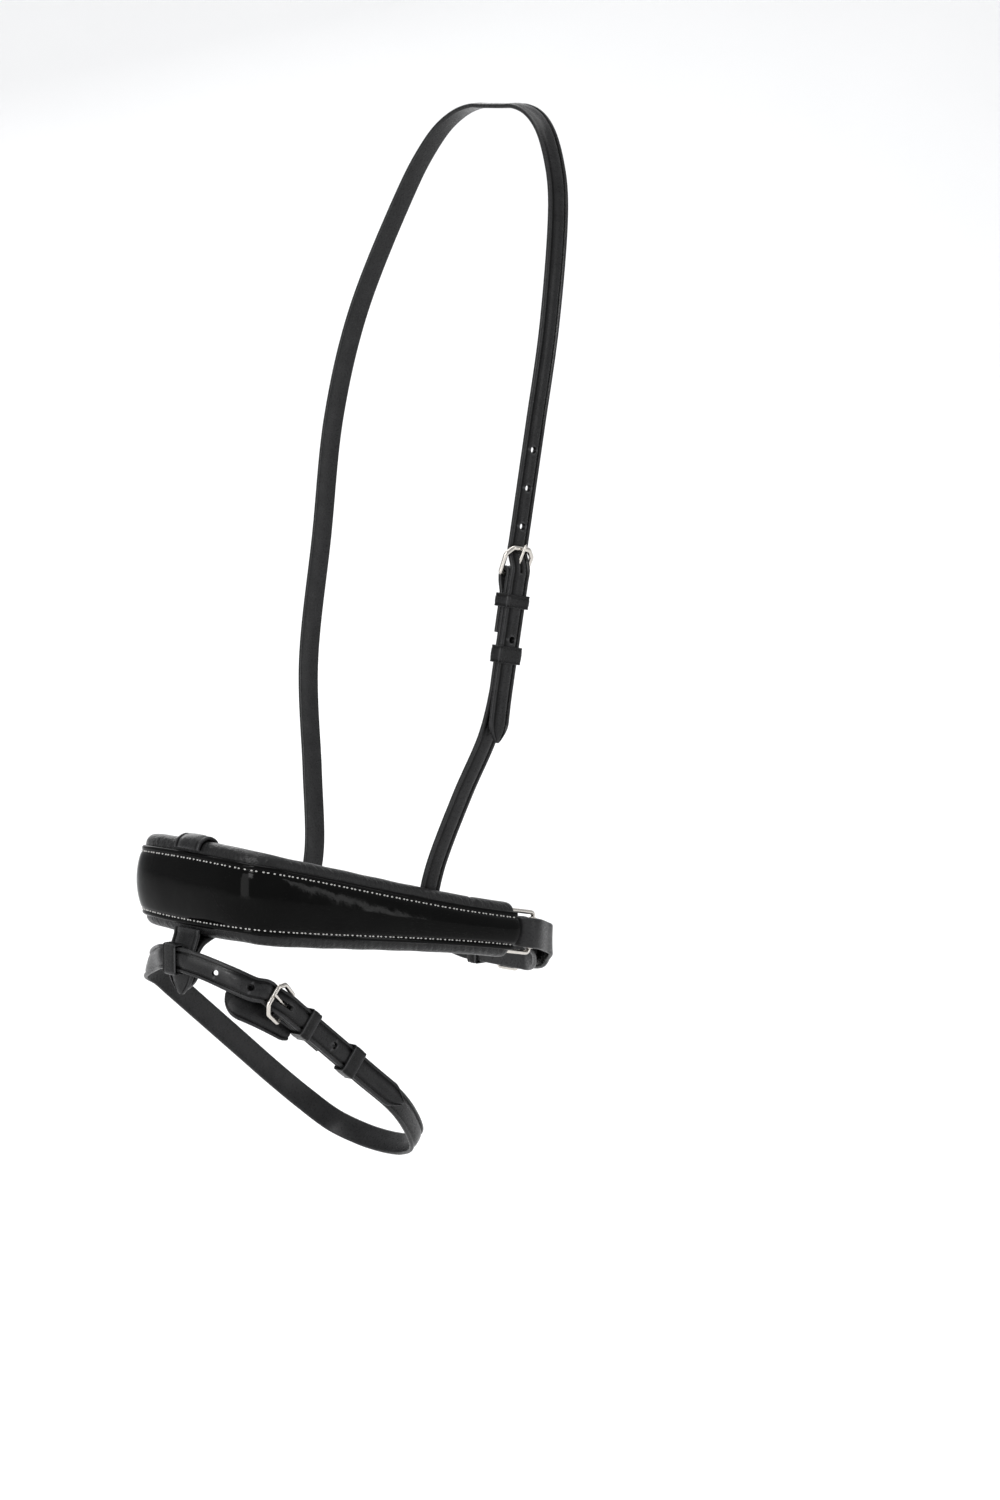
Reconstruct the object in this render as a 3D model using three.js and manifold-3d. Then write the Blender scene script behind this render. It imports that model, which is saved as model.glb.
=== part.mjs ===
// A padded crank noseband with its flash strap and sliphead, worn by a horse that faces -X.
// Millimetres, +Z up. The near (left) side is -Y. The origin is under the strap's crown at the poll.
import * as THREE from "three";
import { mergeVertices } from "three/addons/utils/BufferGeometryUtils.js";
import Module from "manifold-3d";

const wasm = await Module();
wasm.setup();

// ---- driving sizes ----
const gap = 0.3; // left between pieces that touch on the real bridle
const bed = 0.5; // left between the layers of the noseband
const noseHalf = 51.8; // half the width across the nose
const jawHalf = 60; // half the width at the rear ends of the band
const bandReach = 171; // front of the nose to the rear ends of the band
const bandFall = 0.2; // drop of the band for each mm towards the jaw
const bandHeightFront = 50;
const bandHeightRear = 30;
const sewnHeightFront = 32; // between the two stitch rows
const sewnHeightRear = 14.4;
const facingMargin = 3; // facing outside each stitch row
const facingThick = 1.5;
const facingRise = 3; // how far the facing is raised over its filler
const backingThick = 2;
const padDepth = 11; // the lined pad, front to back
const liningThick = 1.4;
const strapWidth = 13;
const strapThick = 2.4;
const crankWidth = 16;
const hangerWidth = 20;
const hangerThick = 2;
const holePitch = 20;
const holeRadius = 1.3;
const wireRadius = 1.3; // buckle frames
const tongueRadius = 1;
const tongueProud = 1.2; // how far a tongue reaches past its frame
const buckleReach = 13.5; // rear bar to front bar
const ringWire = 1.2;
const ringLength = 18; // between bar centres
const ringHeight = 21.6;
const rollerWall = 0.9;
const tabReach = 12; // how far a ring's tab goes into the band
const keeperWall = 1.2;
const keeperLength = 7;
const runnerLength = 9;
const pollHeight = 398; // crown of the sliphead above the front of the band
const pollBehind = 43; // crown of the sliphead behind the rear ends of the band
const pollReach = bandReach + pollBehind;
const bluntTip = 0.2; // part of a strap's width left at its pointed end

// ---- levels above a buckle's rear bar that follow from the sizes ----
const foldLevel = wireRadius + gap + strapThick / 2; // centre of a strap folded round the bar
const layer = strapThick + gap; // from one strap to the next one on it
const billetOver = foldLevel + layer; // centre of the billet where it lies over the fold
const barLift = foldLevel + strapThick / 2; // the frame tilts up to here at its front bar
const billetUnder = barLift - wireRadius - gap - strapThick / 2;
const tongueStart = wireRadius + gap + tongueRadius;
const tongueTop = barLift + wireRadius + gap + tongueRadius;
const tongueHole = buckleReach * 0.41; // where the tongue comes through the billet
const tongueLevel = billetOver - layer / 2;

const leather = { color: 0x17171a, roughness: 0.45, metalness: 0 };
const patent = { color: 0x0b0b0d, roughness: 0.08, metalness: 0 };
const soft = { color: 0x1c1c1f, roughness: 0.6, metalness: 0 };
const foam = { color: 0xb9b6ae, roughness: 0.95, metalness: 0 };
const steel = { color: 0xc9c6be, roughness: 0.22, metalness: 1 };

const vec = (x, y, z) => new THREE.Vector3(x, y, z);
const bridle = new THREE.Group(); // measured from the front of the band
bridle.position.set(-pollReach, 0, strapThick / 2 - pollHeight);
const root = new THREE.Group(); // measured from under the crown
root.add(bridle);

function add(name, geometry, look, place = new THREE.Matrix4()) {
  const mesh = new THREE.Mesh(geometry, new THREE.MeshStandardMaterial(look));
  mesh.name = name;
  mesh.applyMatrix4(place);
  bridle.add(mesh);
}

// ---- solids ----
function solidOf(geometry) {
  const bare = geometry.clone();
  bare.deleteAttribute("normal");
  bare.deleteAttribute("uv");
  const merged = mergeVertices(bare, 1e-4);
  return new wasm.Manifold(
    new wasm.Mesh({
      numProp: 3,
      vertProperties: merged.attributes.position.array,
      triVerts: new Uint32Array(merged.index.array),
    }),
  );
}

function geometryOf(solid) {
  const mesh = solid.getMesh();
  const geometry = new THREE.BufferGeometry();
  geometry.setAttribute("position", new THREE.BufferAttribute(mesh.vertProperties, 3));
  geometry.setIndex(new THREE.BufferAttribute(mesh.triVerts, 1));
  return geometry;
}

function cut(geometry, tools) {
  return geometryOf(tools.reduce((left, tool) => left.subtract(solidOf(tool)), solidOf(geometry)));
}

// Joins rings of points into a closed skin; a ring's points run anticlockwise seen against the travel.
function skin(rings, outline, closed = false) {
  const size = rings[0].length;
  const index = [];
  const spans = closed ? rings.length : rings.length - 1;
  for (let i = 0; i < spans; i++) {
    const here = i * size;
    const next = ((i + 1) % rings.length) * size;
    for (let k = 0; k < size; k++) {
      const j = (k + 1) % size;
      index.push(here + k, next + j, here + j, here + k, next + k, next + j);
    }
  }
  if (!closed) {
    const last = (rings.length - 1) * size;
    for (const [a, b, c] of THREE.ShapeUtils.triangulateShape(outline, [])) {
      index.push(a, b, c, last + a, last + c, last + b);
    }
  }
  const geometry = new THREE.BufferGeometry().setFromPoints(rings.flat());
  geometry.setIndex(index);
  return geometry;
}

// ---- sweeping a section along a route ----
// The section lies across (along `wide`) and out (off the strap's outer face).
function stationAt(curve, t, wide) {
  const point = curve.getPoint(t);
  const travel = curve.getTangent(t).normalize();
  const across = wide(point).addScaledVector(travel, -wide(point).dot(travel)).normalize();
  const out = across.clone().cross(travel).normalize();
  return { point, travel, across, out };
}

function sweep(route, wide, sectionAt, perSpan = 2) {
  const curve = new THREE.CatmullRomCurve3(route, false, "centripetal");
  const count = (route.length - 1) * perSpan;
  const stations = Array.from({ length: count + 1 }, (_, i) => stationAt(curve, i / count, wide));
  const travelled = [0];
  for (let i = 1; i <= count; i++) {
    travelled.push(travelled[i - 1] + stations[i].point.distanceTo(stations[i - 1].point));
  }
  const sections = travelled.map((far) => sectionAt(far, travelled[count] - far));
  const rings = stations.map(({ point, across, out }, i) =>
    sections[i].map(([a, o]) => point.clone().addScaledVector(across, a).addScaledVector(out, o)),
  );
  return { curve, geometry: skin(rings, sections[0].map(([a, o]) => new THREE.Vector2(a, o))) };
}

// A strap's section with its corners taken off.
function strapSection(width, thick) {
  const w = width / 2;
  const h = thick / 2;
  const c = thick * 0.28;
  return [
    [w - c, -h],
    [w, -h + c],
    [w, h - c],
    [w - c, h],
    [-w + c, h],
    [-w, h - c],
    [-w, -h + c],
    [-w + c, -h],
  ];
}

// The width of a strap's end at a distance from its tip; `blunt` is the part left at the tip.
function tipWidth(width, far, length, blunt) {
  const part = Math.min(1, far / length);
  return width * (blunt + (1 - blunt) * Math.sin((part * Math.PI) / 2));
}

function strap(route, wide, width, thick, tips = {}) {
  return sweep(route, wide, (fromStart, fromEnd) => {
    const start = tips.start ? tipWidth(width, fromStart, tips.start, bluntTip) : width;
    const end = tips.end ? tipWidth(width, fromEnd, tips.end, bluntTip) : width;
    return strapSection(Math.min(start, end), thick);
  });
}

// Round holes through a strap, at distances along it from the point nearest to `from`.
function punches(curve, wide, from, distances) {
  const steps = 2000;
  const length = curve.getLength();
  let best = 0;
  for (let i = 0; i <= steps; i++) {
    const nearer = curve.getPointAt(i / steps).distanceTo(from);
    if (nearer < curve.getPointAt(best).distanceTo(from)) best = i / steps;
  }
  return distances.map((distance) => {
    const t = curve.getUtoTmapping(best + distance / length);
    const { point, across, out, travel } = stationAt(curve, t, wide);
    const tool = new THREE.CylinderGeometry(holeRadius, holeRadius, strapThick * 3, 10);
    const turned = new THREE.Matrix4().makeBasis(across, out, travel.clone().negate());
    return tool.applyMatrix4(turned.setPosition(point));
  });
}

// ---- places: x runs along a strap, z is its outer side ----
function placeOf(origin, along, out) {
  const x = along.clone().normalize();
  const y = out.clone().cross(x).normalize();
  const z = x.clone().cross(y);
  return new THREE.Matrix4().makeBasis(x, y, z).setPosition(origin);
}

const at = (place, x, z, y = 0) => vec(x, y, z).applyMatrix4(place);

function box(place, x, y, z) {
  const geometry = new THREE.BoxGeometry(x[1] - x[0], y[1] - y[0], z[1] - z[0]);
  geometry.translate((x[0] + x[1]) / 2, (y[0] + y[1]) / 2, (z[0] + z[1]) / 2);
  return geometry.applyMatrix4(place);
}

// A half turn round a bar at the place's origin, from its outer face to its inner face.
function halfTurn(place, radius) {
  return [90, 45, 0, -45, -90].map((angle) => {
    const a = (angle * Math.PI) / 180;
    return at(place, radius * Math.cos(a), radius * Math.sin(a));
  });
}

// ---- hardware ----
// A closed loop of round wire in its own xy plane, with rounded corners.
function wireLoop(corners, bend, radius) {
  const path = new THREE.Path();
  corners.forEach(([x, y], i) => {
    const before = corners[(i + corners.length - 1) % corners.length];
    const after = corners[(i + 1) % corners.length];
    const [start, end] = [before, after].map(([nextX, nextY]) => {
      const part = bend / Math.hypot(nextX - x, nextY - y);
      return [x + (nextX - x) * part, y + (nextY - y) * part];
    });
    if (i === 0) path.moveTo(...start);
    else path.lineTo(...start);
    path.quadraticCurveTo(x, y, ...end);
  });
  const points = path.getPoints(3).map((p) => vec(p.x, p.y, 0));
  const sides = 8;
  const rings = points.map((point, i) => {
    const before = points[(i + points.length - 1) % points.length];
    const after = points[(i + 1) % points.length];
    const travel = after.clone().sub(before).normalize();
    const across = vec(0, 0, 1).cross(travel).negate();
    return Array.from({ length: sides }, (_, k) => {
      const a = (k * 2 * Math.PI) / sides;
      const side = point.clone().addScaledVector(across, radius * Math.cos(a));
      return side.add(vec(0, 0, radius * Math.sin(a)));
    });
  });
  return skin(rings, [], true);
}

function tube(inner, outer, length) {
  const half = length / 2;
  const profile = [
    [inner, -half],
    [outer, -half],
    [outer, half],
    [inner, half],
    [inner, -half],
  ];
  return new THREE.LatheGeometry(profile.map(([r, h]) => new THREE.Vector2(r, h)), 20);
}

// The frame's rear bar is the y axis of its place. Its front bar is bowed and lifted by barLift.
function buckle(name, place, width) {
  const side = width / 2 + 2 * gap + wireRadius;
  const cornerCut = 2.4 * wireRadius;
  const slant = Math.hypot(buckleReach, barLift);
  const frame = wireLoop(
    [
      [0, -side],
      [slant * 0.72, -side - 0.6],
      [slant, cornerCut - side],
      [slant, side - cornerCut],
      [slant * 0.72, side + 0.6],
      [0, side],
    ],
    wireRadius * 1.15,
    wireRadius,
  );
  const tilt = new THREE.Matrix4().makeRotationY(-Math.atan2(barLift, buckleReach));
  add(`${name}_buckle_frame`, frame, steel, place.clone().multiply(tilt));

  const ring = tube(wireRadius + gap, wireRadius + gap + 1.5 * tongueRadius, 2.4 * tongueRadius);
  const rise = Math.atan2(tongueTop - tongueStart, buckleReach);
  const length = buckleReach + wireRadius + tongueProud;
  const rod = new THREE.CylinderGeometry(tongueRadius * 0.8, tongueRadius, length, 12);
  rod.rotateZ(-Math.PI / 2).translate(length / 2, 0, 0);
  rod.rotateY(-rise).translate(0, 0, tongueStart);
  const tongue = solidOf(ring).add(solidOf(rod));
  add(`${name}_buckle_tongue`, geometryOf(tongue), steel, place);
}

// The slot in a folded strap that lets the tongue's eye sit on the bar.
function foldSlot(place) {
  const eye = wireRadius + gap + 1.5 * tongueRadius + gap;
  const half = 1.2 * tongueRadius + gap;
  const reach = foldLevel + strapThick;
  return box(place, [-eye, reach], [-half, half], [-reach, reach]);
}

// The slot in a billet that its tongue has been pushed through.
function billetSlot(place) {
  const half = tongueRadius + gap;
  return box(place, [0.06 * buckleReach, 0.78 * buckleReach], [-half, half], [-2 * layer, 3 * layer]);
}

function roundedLoop(width, low, high, radius) {
  const w = width / 2;
  const shape = new THREE.Path();
  shape.moveTo(w, low + radius);
  shape.lineTo(w, high - radius);
  shape.quadraticCurveTo(w, high, w - radius, high);
  shape.lineTo(-w + radius, high);
  shape.quadraticCurveTo(-w, high, -w, high - radius);
  shape.lineTo(-w, low + radius);
  shape.quadraticCurveTo(-w, low, -w + radius, low);
  shape.lineTo(w - radius, low);
  shape.quadraticCurveTo(w, low, w, low + radius);
  return shape.getPoints(3).slice(0, -1);
}

// A leather loop round every layer from `low` to `high`, centred at x along the place.
function keeper(name, place, x, length, width, low, high) {
  const corner = 0.4;
  const room = gap + keeperWall;
  const inner = roundedLoop(width + 2 * gap, low - gap, high + gap, corner);
  const outer = roundedLoop(width + 2 * room, low - room, high + room, corner + keeperWall);
  const shape = new THREE.Shape(outer);
  shape.holes.push(new THREE.Path(inner));
  const geometry = new THREE.ExtrudeGeometry(shape, { depth: length, bevelEnabled: false });
  geometry.translate(0, 0, -length / 2);
  const upright = new THREE.Matrix4().makeBasis(vec(0, 1, 0), vec(0, 0, 1), vec(1, 0, 0));
  geometry.applyMatrix4(upright).translate(x, 0, 0);
  add(name, geometry, leather, place);
}

// ---- the noseband ----
// The near half of the band's plan: a long side, then the corner and the front of the nose.
const cornerReach = 24;
const flat = (x, y) => new THREE.Vector2(x, y);
const sidePlan = new THREE.CubicBezierCurve(
  flat(bandReach, -jawHalf),
  flat(bandReach * 0.7, -jawHalf * 1.067),
  flat(cornerReach * 2.5, -noseHalf * 1.1),
  flat(cornerReach, -noseHalf),
);
const nosePlan = new THREE.CubicBezierCurve(
  flat(cornerReach, -noseHalf),
  flat(cornerReach * 0.17, -noseHalf * 0.946),
  flat(0, -noseHalf * 0.81),
  flat(0, 0),
);
const planPoints = [...sidePlan.getPoints(8), ...nosePlan.getPoints(13).slice(1)];
const nearPlan = planPoints.map((p) => vec(p.x, p.y, -bandFall * p.x));
const mirrored = (p) => vec(p.x, -p.y, p.z);
const bandRoute = [...nearPlan, ...nearPlan.slice(0, -1).reverse().map(mirrored)];
const upright = () => vec(0, 0, 1);

// Half heights of the band at its distance from the nearer rear end.
const halfLength = nearPlan.slice(1).reduce((sum, p, i) => sum + p.distanceTo(nearPlan[i]), 0);
const sideStep = nearPlan[0].distanceTo(nearPlan[1]);
function bandHalf(front, rear, far) {
  const fade = 0.5 - 0.5 * Math.cos(Math.PI * Math.min(1, far / halfLength));
  return (rear + (front - rear) * fade) / 2;
}

function bandPiece(name, look, inset, section) {
  const route = inset ? bandRoute.slice(inset, -inset) : bandRoute;
  const skipped = sideStep * inset;
  const { geometry } = sweep(
    route,
    upright,
    (fromStart, fromEnd) => {
      const far = Math.min(fromStart, fromEnd) + skipped;
      const outer = bandHalf(bandHeightFront, bandHeightRear, far);
      const facing = bandHalf(sewnHeightFront, sewnHeightRear, far) + facingMargin;
      return section(outer, facing);
    },
    1,
  );
  add(name, geometry, look);
}

const roll = padDepth / 2; // radius of the lined roll along each edge
const tuck = 2.5; // how far the facing laps over the lining's edge

// The dome under the facing, at a height from the band's centre.
const dome = (facing, height) =>
  bed + facingRise * Math.max(0, 1 - (height / (facing - facingMargin)) ** 2);
const domeSteps = [-1, -0.8, -0.5, 0, 0.5, 0.8, 1];

bandPiece("noseband_facing", patent, 0, (outer, facing) => {
  const sewn = facing - facingMargin;
  const under = domeSteps.map((s) => [s * sewn, dome(facing, s * sewn)]);
  const over = under.map(([a, o]) => [a, o + facingThick]).reverse();
  const edge = bed + facingThick * 0.7;
  return [[-facing, bed], ...under, [facing, bed], [facing, edge], ...over, [-facing, edge]];
});

bandPiece("noseband_filler", foam, 1, (outer, facing) => {
  const half = 0.72 * (facing - facingMargin);
  const over = [-1, -0.6, 0, 0.6, 1].map((s) => [s * half, dome(facing, s * half) - bed]).reverse();
  return [[-half, bed], [0, bed], [half, bed], ...over];
});

bandPiece("noseband_backing", leather, 1, (outer, facing) => {
  const half = facing - tuck;
  return [
    [-half, -backingThick],
    [0, -backingThick],
    [half, -backingThick],
    [half, 0],
    [0, 0],
    [-half, 0],
  ];
});

// Points of a half circle round the roll at height `centre`, between two angles in degrees.
function rollArc(centre, radius, from, to) {
  const steps = 3;
  return Array.from({ length: steps + 1 }, (_, i) => {
    const a = ((from + ((to - from) * i) / steps) * Math.PI) / 180;
    return [centre + radius * Math.cos(a), -roll + radius * Math.sin(a)];
  });
}

bandPiece("noseband_pad", foam, 1, (outer) => {
  const top = -backingThick - bed;
  const bottom = -padDepth + liningThick + bed;
  const radius = (top - bottom) / 2;
  const shift = (top + bottom) / 2 + roll;
  const lift = ([a, o]) => [a, o + shift];
  return [
    [0, bottom],
    ...rollArc(outer - roll, radius, -90, 90).map(lift),
    [0, top],
    ...rollArc(roll - outer, radius, 90, 270).map(lift),
  ];
});

bandPiece("noseband_lining", soft, 0, (outer, facing) => {
  const lip = facing - tuck + bed;
  const inside = roll - liningThick;
  return [
    [0, -padDepth],
    ...rollArc(outer - roll, roll, -90, 90),
    [lip, 0],
    [lip, -liningThick],
    ...rollArc(outer - roll, inside, 90, -90),
    [0, -padDepth + liningThick],
    ...rollArc(roll - outer, inside, 270, 90),
    [-lip, -liningThick],
    [-lip, 0],
    ...rollArc(roll - outer, roll, 90, 270),
  ];
});

// ---- rings at the rear ends of the band, and the tabs that hold them ----
const bandEnd = nearPlan[0];
const endTravel = nearPlan[0].clone().sub(nearPlan[1]).normalize();
const tabThick = backingThick;
const tabLevel = ringWire + gap + tabThick / 2;
const underFacing = gap + tabLevel + tabThick / 2;
const ringSink = Math.max(underFacing, roll - 1.7); // bar centre, where the rolls leave it room
const ringBend = 2.2;
const ringPlaces = {};
for (const [side, sign] of [["near", -1], ["off", 1]]) {
  const along = vec(endTravel.x, -sign * endTravel.y, endTravel.z);
  const out = vec(endTravel.y, sign * endTravel.x, 0).normalize();
  const origin = vec(bandEnd.x, -sign * bandEnd.y, bandEnd.z);
  origin.addScaledVector(along, -1).addScaledVector(out, -ringSink);
  const place = placeOf(origin, along, out);
  ringPlaces[side] = place;
  const high = ringHeight / 2;
  const corners = [
    [0, -high],
    [ringLength, -high],
    [ringLength, high],
    [0, high],
  ];
  add(`ring_${side}`, wireLoop(corners, ringBend, ringWire), steel, place);
  const barFree = 2 * (high - ringBend - gap);
  const roller = tube(ringWire + gap, ringWire + gap + rollerWall, barFree).translate(ringLength, 0, 0);
  add(`ring_roller_${side}`, roller, steel, place);
  const tabRoute = [
    at(place, -tabReach, tabLevel),
    at(place, -4, tabLevel),
    ...halfTurn(place, tabLevel),
    at(place, -4, -tabLevel),
    at(place, -tabReach, -tabLevel),
  ];
  const tabWide = () => at(place, 0, 0, 1).sub(at(place, 0, 0));
  add(`ring_tab_${side}`, strap(tabRoute, tabWide, strapWidth, tabThick).geometry, leather);
}

// ---- cheek strap, near side ----
const cheekUp = vec(0.165, -0.03, 0.986).normalize();
const cheekBar = vec(bandReach * 0.9 + 1.3, -jawHalf - 16.3, pollHeight * 0.396); // its buckle's rear bar
const cheekPlace = placeOf(cheekBar, cheekUp, vec(0, -1, 0));
// A cheek strap's width lies square to its slope, and turns level over the poll.
const cheekWide = (p) => {
  const level = THREE.MathUtils.smoothstep(p.z, pollHeight * 0.65, pollHeight * 0.85);
  return vec(cheekUp.z, 0, -cheekUp.x).lerp(vec(1, 0, 0), level);
};
const insideBand = jawHalf * 1.022 - padDepth - gap - strapThick / 2 - 1; // |y| of a strap behind the pad
const cheekFoot = [
  vec(bandReach - 54, -insideBand, -33),
  vec(bandReach - 50, -insideBand, -15),
  vec(bandReach - 45.5, -insideBand - 1.5, 4),
  vec(bandReach - 37, -jawHalf - 1, 42),
];
const cheekRoute = [
  ...cheekFoot,
  at(cheekPlace, -84, foldLevel - 3.2),
  ...[-62, -52, -10, -3].map((x) => at(cheekPlace, x, foldLevel)),
  ...halfTurn(cheekPlace, foldLevel),
  at(cheekPlace, -4, -foldLevel + 0.5),
  at(cheekPlace, -11, foldLevel - layer),
  at(cheekPlace, -16, foldLevel - layer),
  at(cheekPlace, -31, foldLevel - layer),
];
const cheek = strap(cheekRoute, cheekWide, strapWidth, strapThick);
add("cheek_strap_near", cut(cheek.geometry, [foldSlot(cheekPlace)]), leather);
buckle("cheek", cheekPlace, strapWidth);
const chapeLow = foldLevel - layer - strapThick / 2; // under the folded end
const strapLow = foldLevel - strapThick / 2;
const overTop = billetOver + strapThick / 2;
keeper("cheek_keeper", cheekPlace, -14, keeperLength, strapWidth, chapeLow, overTop);
keeper("cheek_runner", cheekPlace, -42, runnerLength, strapWidth, strapLow, overTop);

// The billet's way through a buckle, from its tip to beyond the front bar. The tip stands off a little.
const tipLift = 1;
function billetRoute(place, tip, beyond) {
  return [
    at(place, tip, billetOver + tipLift),
    at(place, tip + 4, billetOver + tipLift * 0.9),
    at(place, tip + 9, billetOver + tipLift * 0.7),
    at(place, tip + 22, billetOver + tipLift * 0.1),
    ...[-55, -14, -3].map((x) => at(place, x, billetOver)),
    at(place, 0.22 * buckleReach, billetOver),
    at(place, 0.9 * buckleReach, billetUnder),
    at(place, 1.25 * buckleReach, billetUnder),
    ...beyond.map((x) => at(place, x, billetUnder)),
  ];
}

// ---- sliphead: billet, crown and off cheek in one strap ----
const crown = (part, fall, back) => vec(pollReach - back, -jawHalf * part, pollHeight - fall);
const rise = [
  crown(1.28, 111.4, 33.2),
  crown(1.02, 48, 13),
  crown(0.86, 27, 7.5),
  crown(0.67, 11.5, 3.5),
  crown(0.47, 3.2, 1),
  crown(0.28, 0, 0),
  crown(0.13, 0, 0),
];
const slipRoute = [
  ...billetRoute(cheekPlace, -88, [25, 70, 80]),
  ...rise,
  ...rise.slice().reverse().map(mirrored),
  ...[75, 10, -60].map((x) => mirrored(at(cheekPlace, x, foldLevel))),
  ...cheekFoot.slice().reverse().map(mirrored),
];
const slip = strap(slipRoute, cheekWide, strapWidth, strapThick, { start: 12 });
const cheekTongue = at(cheekPlace, tongueHole, tongueLevel);
const cheekPitches = [-2, -1, 1, 2, 3].map((k) => k * holePitch);
const cheekHoles = punches(slip.curve, cheekWide, cheekTongue, cheekPitches);
add("sliphead", cut(slip.geometry, [billetSlot(cheekPlace), ...cheekHoles]), leather);

// ---- flash strap ----
const flashDown = vec(0.775, -0.03, -0.63).normalize();
const flashPlace = placeOf(vec(26, 6 - noseHalf, -60), flashDown.clone().negate(), vec(0, -1, 0));
const flashFront = vec(-10.4, 0, -35.5); // centre of the strap where the hanger holds it
// The strap stands nearly upright on the nose and leans back under the jaw.
const flashWide = (p) => {
  const lean = THREE.MathUtils.smoothstep(p.x, -8, 14);
  return vec(-flashDown.z * lean, 0, 1 - lean + flashDown.x * lean);
};
const noseTurn = [
  vec(-6.2, noseHalf * 0.367, -38),
  vec(1, noseHalf * 0.656, -43.5),
  vec(8, noseHalf * 0.82, -48),
];
const chinTurn = [
  vec(113, noseHalf * 0.85, -132),
  vec(125, noseHalf * 0.656, -144),
  vec(131.5, noseHalf * 0.348, -150),
  vec(133, noseHalf * 0.116, -151.5),
];
const flashRoute = [
  at(flashPlace, -31, foldLevel - layer),
  at(flashPlace, -16, foldLevel - layer),
  at(flashPlace, -11, foldLevel - layer),
  at(flashPlace, -4, -foldLevel + 0.5),
  ...halfTurn(flashPlace, foldLevel).reverse(),
  ...[-3, -10, -60, -90].map((x) => at(flashPlace, x, foldLevel)),
  ...chinTurn.map(mirrored),
  ...chinTurn.slice().reverse(),
  ...[-90, -60, 0, 12].map((x) => mirrored(at(flashPlace, x, 0))),
  ...noseTurn.slice().reverse(),
  ...[9, 4, -4, -9].map((y) => vec(flashFront.x, y, flashFront.z)),
  ...noseTurn.map(mirrored),
  ...billetRoute(flashPlace, -92, []).reverse(),
];
const flash = strap(flashRoute, flashWide, strapWidth, strapThick, { end: 12 });
const flashTongue = at(flashPlace, tongueHole, tongueLevel);
const flashPitches = [-2, -1, 1, 2].map((k) => k * holePitch);
const flashHoles = punches(flash.curve, flashWide, flashTongue, flashPitches);
const flashCuts = [foldSlot(flashPlace), billetSlot(flashPlace), ...flashHoles];
add("flash_strap", cut(flash.geometry, flashCuts), leather);
buckle("flash", flashPlace, strapWidth);
keeper("flash_keeper", flashPlace, -14, keeperLength, strapWidth, chapeLow, overTop);
keeper("flash_runner", flashPlace, -50, runnerLength, strapWidth, strapLow, overTop);

// ---- guard: a rounded flap between the flash buckle and the skin ----
const guardThick = 1.8;
const guardWidth = 23;
const guardLevel = -foldLevel - strapThick / 2 - gap - guardThick / 2;
const guardRoute = [
  at(flashPlace, -13, guardLevel, 1),
  at(flashPlace, -4, guardLevel, 2.5),
  at(flashPlace, 9, guardLevel - 0.8, 5),
  at(flashPlace, 19, guardLevel - 4, 7),
  at(flashPlace, 27, guardLevel - 10, 8.5),
];
// Both ends of the flap are round, the upper one fully and the sewn one half way.
const guardSection = (fromStart, fromEnd) => {
  const into = Math.min(1, (2 * Math.min(fromEnd, fromStart + guardWidth / 4)) / guardWidth);
  return strapSection(guardWidth * Math.max(0.3, Math.sqrt(into * (2 - into))), guardThick);
};
const guard = sweep(guardRoute, flashWide, guardSection, 4);
add("flash_guard", guard.geometry, leather);

// ---- hanger: two leather tails round the band's lining, and the loop they carry ----
const hangerRadius = roll + gap + hangerThick / 2;
const rollHeight = bandHeightFront / 2 - roll;
// Round the top (1) or bottom (-1) roll at the front of the nose, by degrees from its outer side.
const roundRoll = (end, angles) =>
  angles.map((degrees) => {
    const a = THREE.MathUtils.degToRad(degrees);
    return vec(roll - hangerRadius * Math.cos(a), 0, end * (rollHeight + hangerRadius * Math.sin(a)));
  });
const sideways = () => vec(0, 1, 0);
const swingRoom = strapThick / 2 + 0.6; // lets the flash strap tilt in its loop
const loopBack = flashFront.x + swingRoom + gap + keeperWall;
const tailFront = loopBack + 0.7 + hangerThick / 2;
const tailRear = tailFront + hangerThick + gap + 0.8;
const tailEnd = bandHeightFront / 2 + 29.5;
const hung = (x, z) => vec(x, 0, -z);
const rearTail = [
  ...roundRoll(1, [9, 45, 90, 135, 180]),
  vec(roll + hangerRadius, 0, 0),
  ...roundRoll(-1, [180, 135, 95]),
  hung(1.4, rollHeight + 9.4),
  hung(tailRear + 0.4, rollHeight + 14),
  hung(tailRear, rollHeight + 19),
  hung(tailRear, tailEnd - 7),
  hung(tailRear, tailEnd - 2),
];
const rear = strap(rearTail, sideways, hangerWidth, hangerThick, { end: 9 });
add("flash_hanger_rear", rear.geometry, leather);
const frontTail = [
  ...roundRoll(-1, [9]),
  hung(-1.5, rollHeight + 4.6),
  hung(-3.4, rollHeight + 9.6),
  hung(tailFront - 0.1, rollHeight + 14.8),
  hung(tailFront, rollHeight + 20),
  hung(tailFront, tailEnd - 6),
  hung(tailFront, tailEnd),
];
const front = strap(frontTail, sideways, hangerWidth, hangerThick, { end: 12 });
add("flash_hanger_front", front.geometry, leather);
const loopLength = 10;
const loopPlace = placeOf(flashFront, vec(0, -1, 0), vec(-1, 0, 0));
keeper("flash_hanger_loop", loopPlace, 0, loopLength, strapWidth + 0.4, -swingRoom, swingRoom);

// ---- crank strap: sewn round the off ring, under the jaw, through the near ring and back ----
const jawBehind = 24; // flat of the crank strap behind the rings
const jawReach = bandReach + ringLength + jawBehind;
const jawDrop = 57;
const ringTurn = 5.4; // half the width of the loose turn through a ring
const turnX = ringLength * 0.7;
const near = ringPlaces.near;
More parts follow.
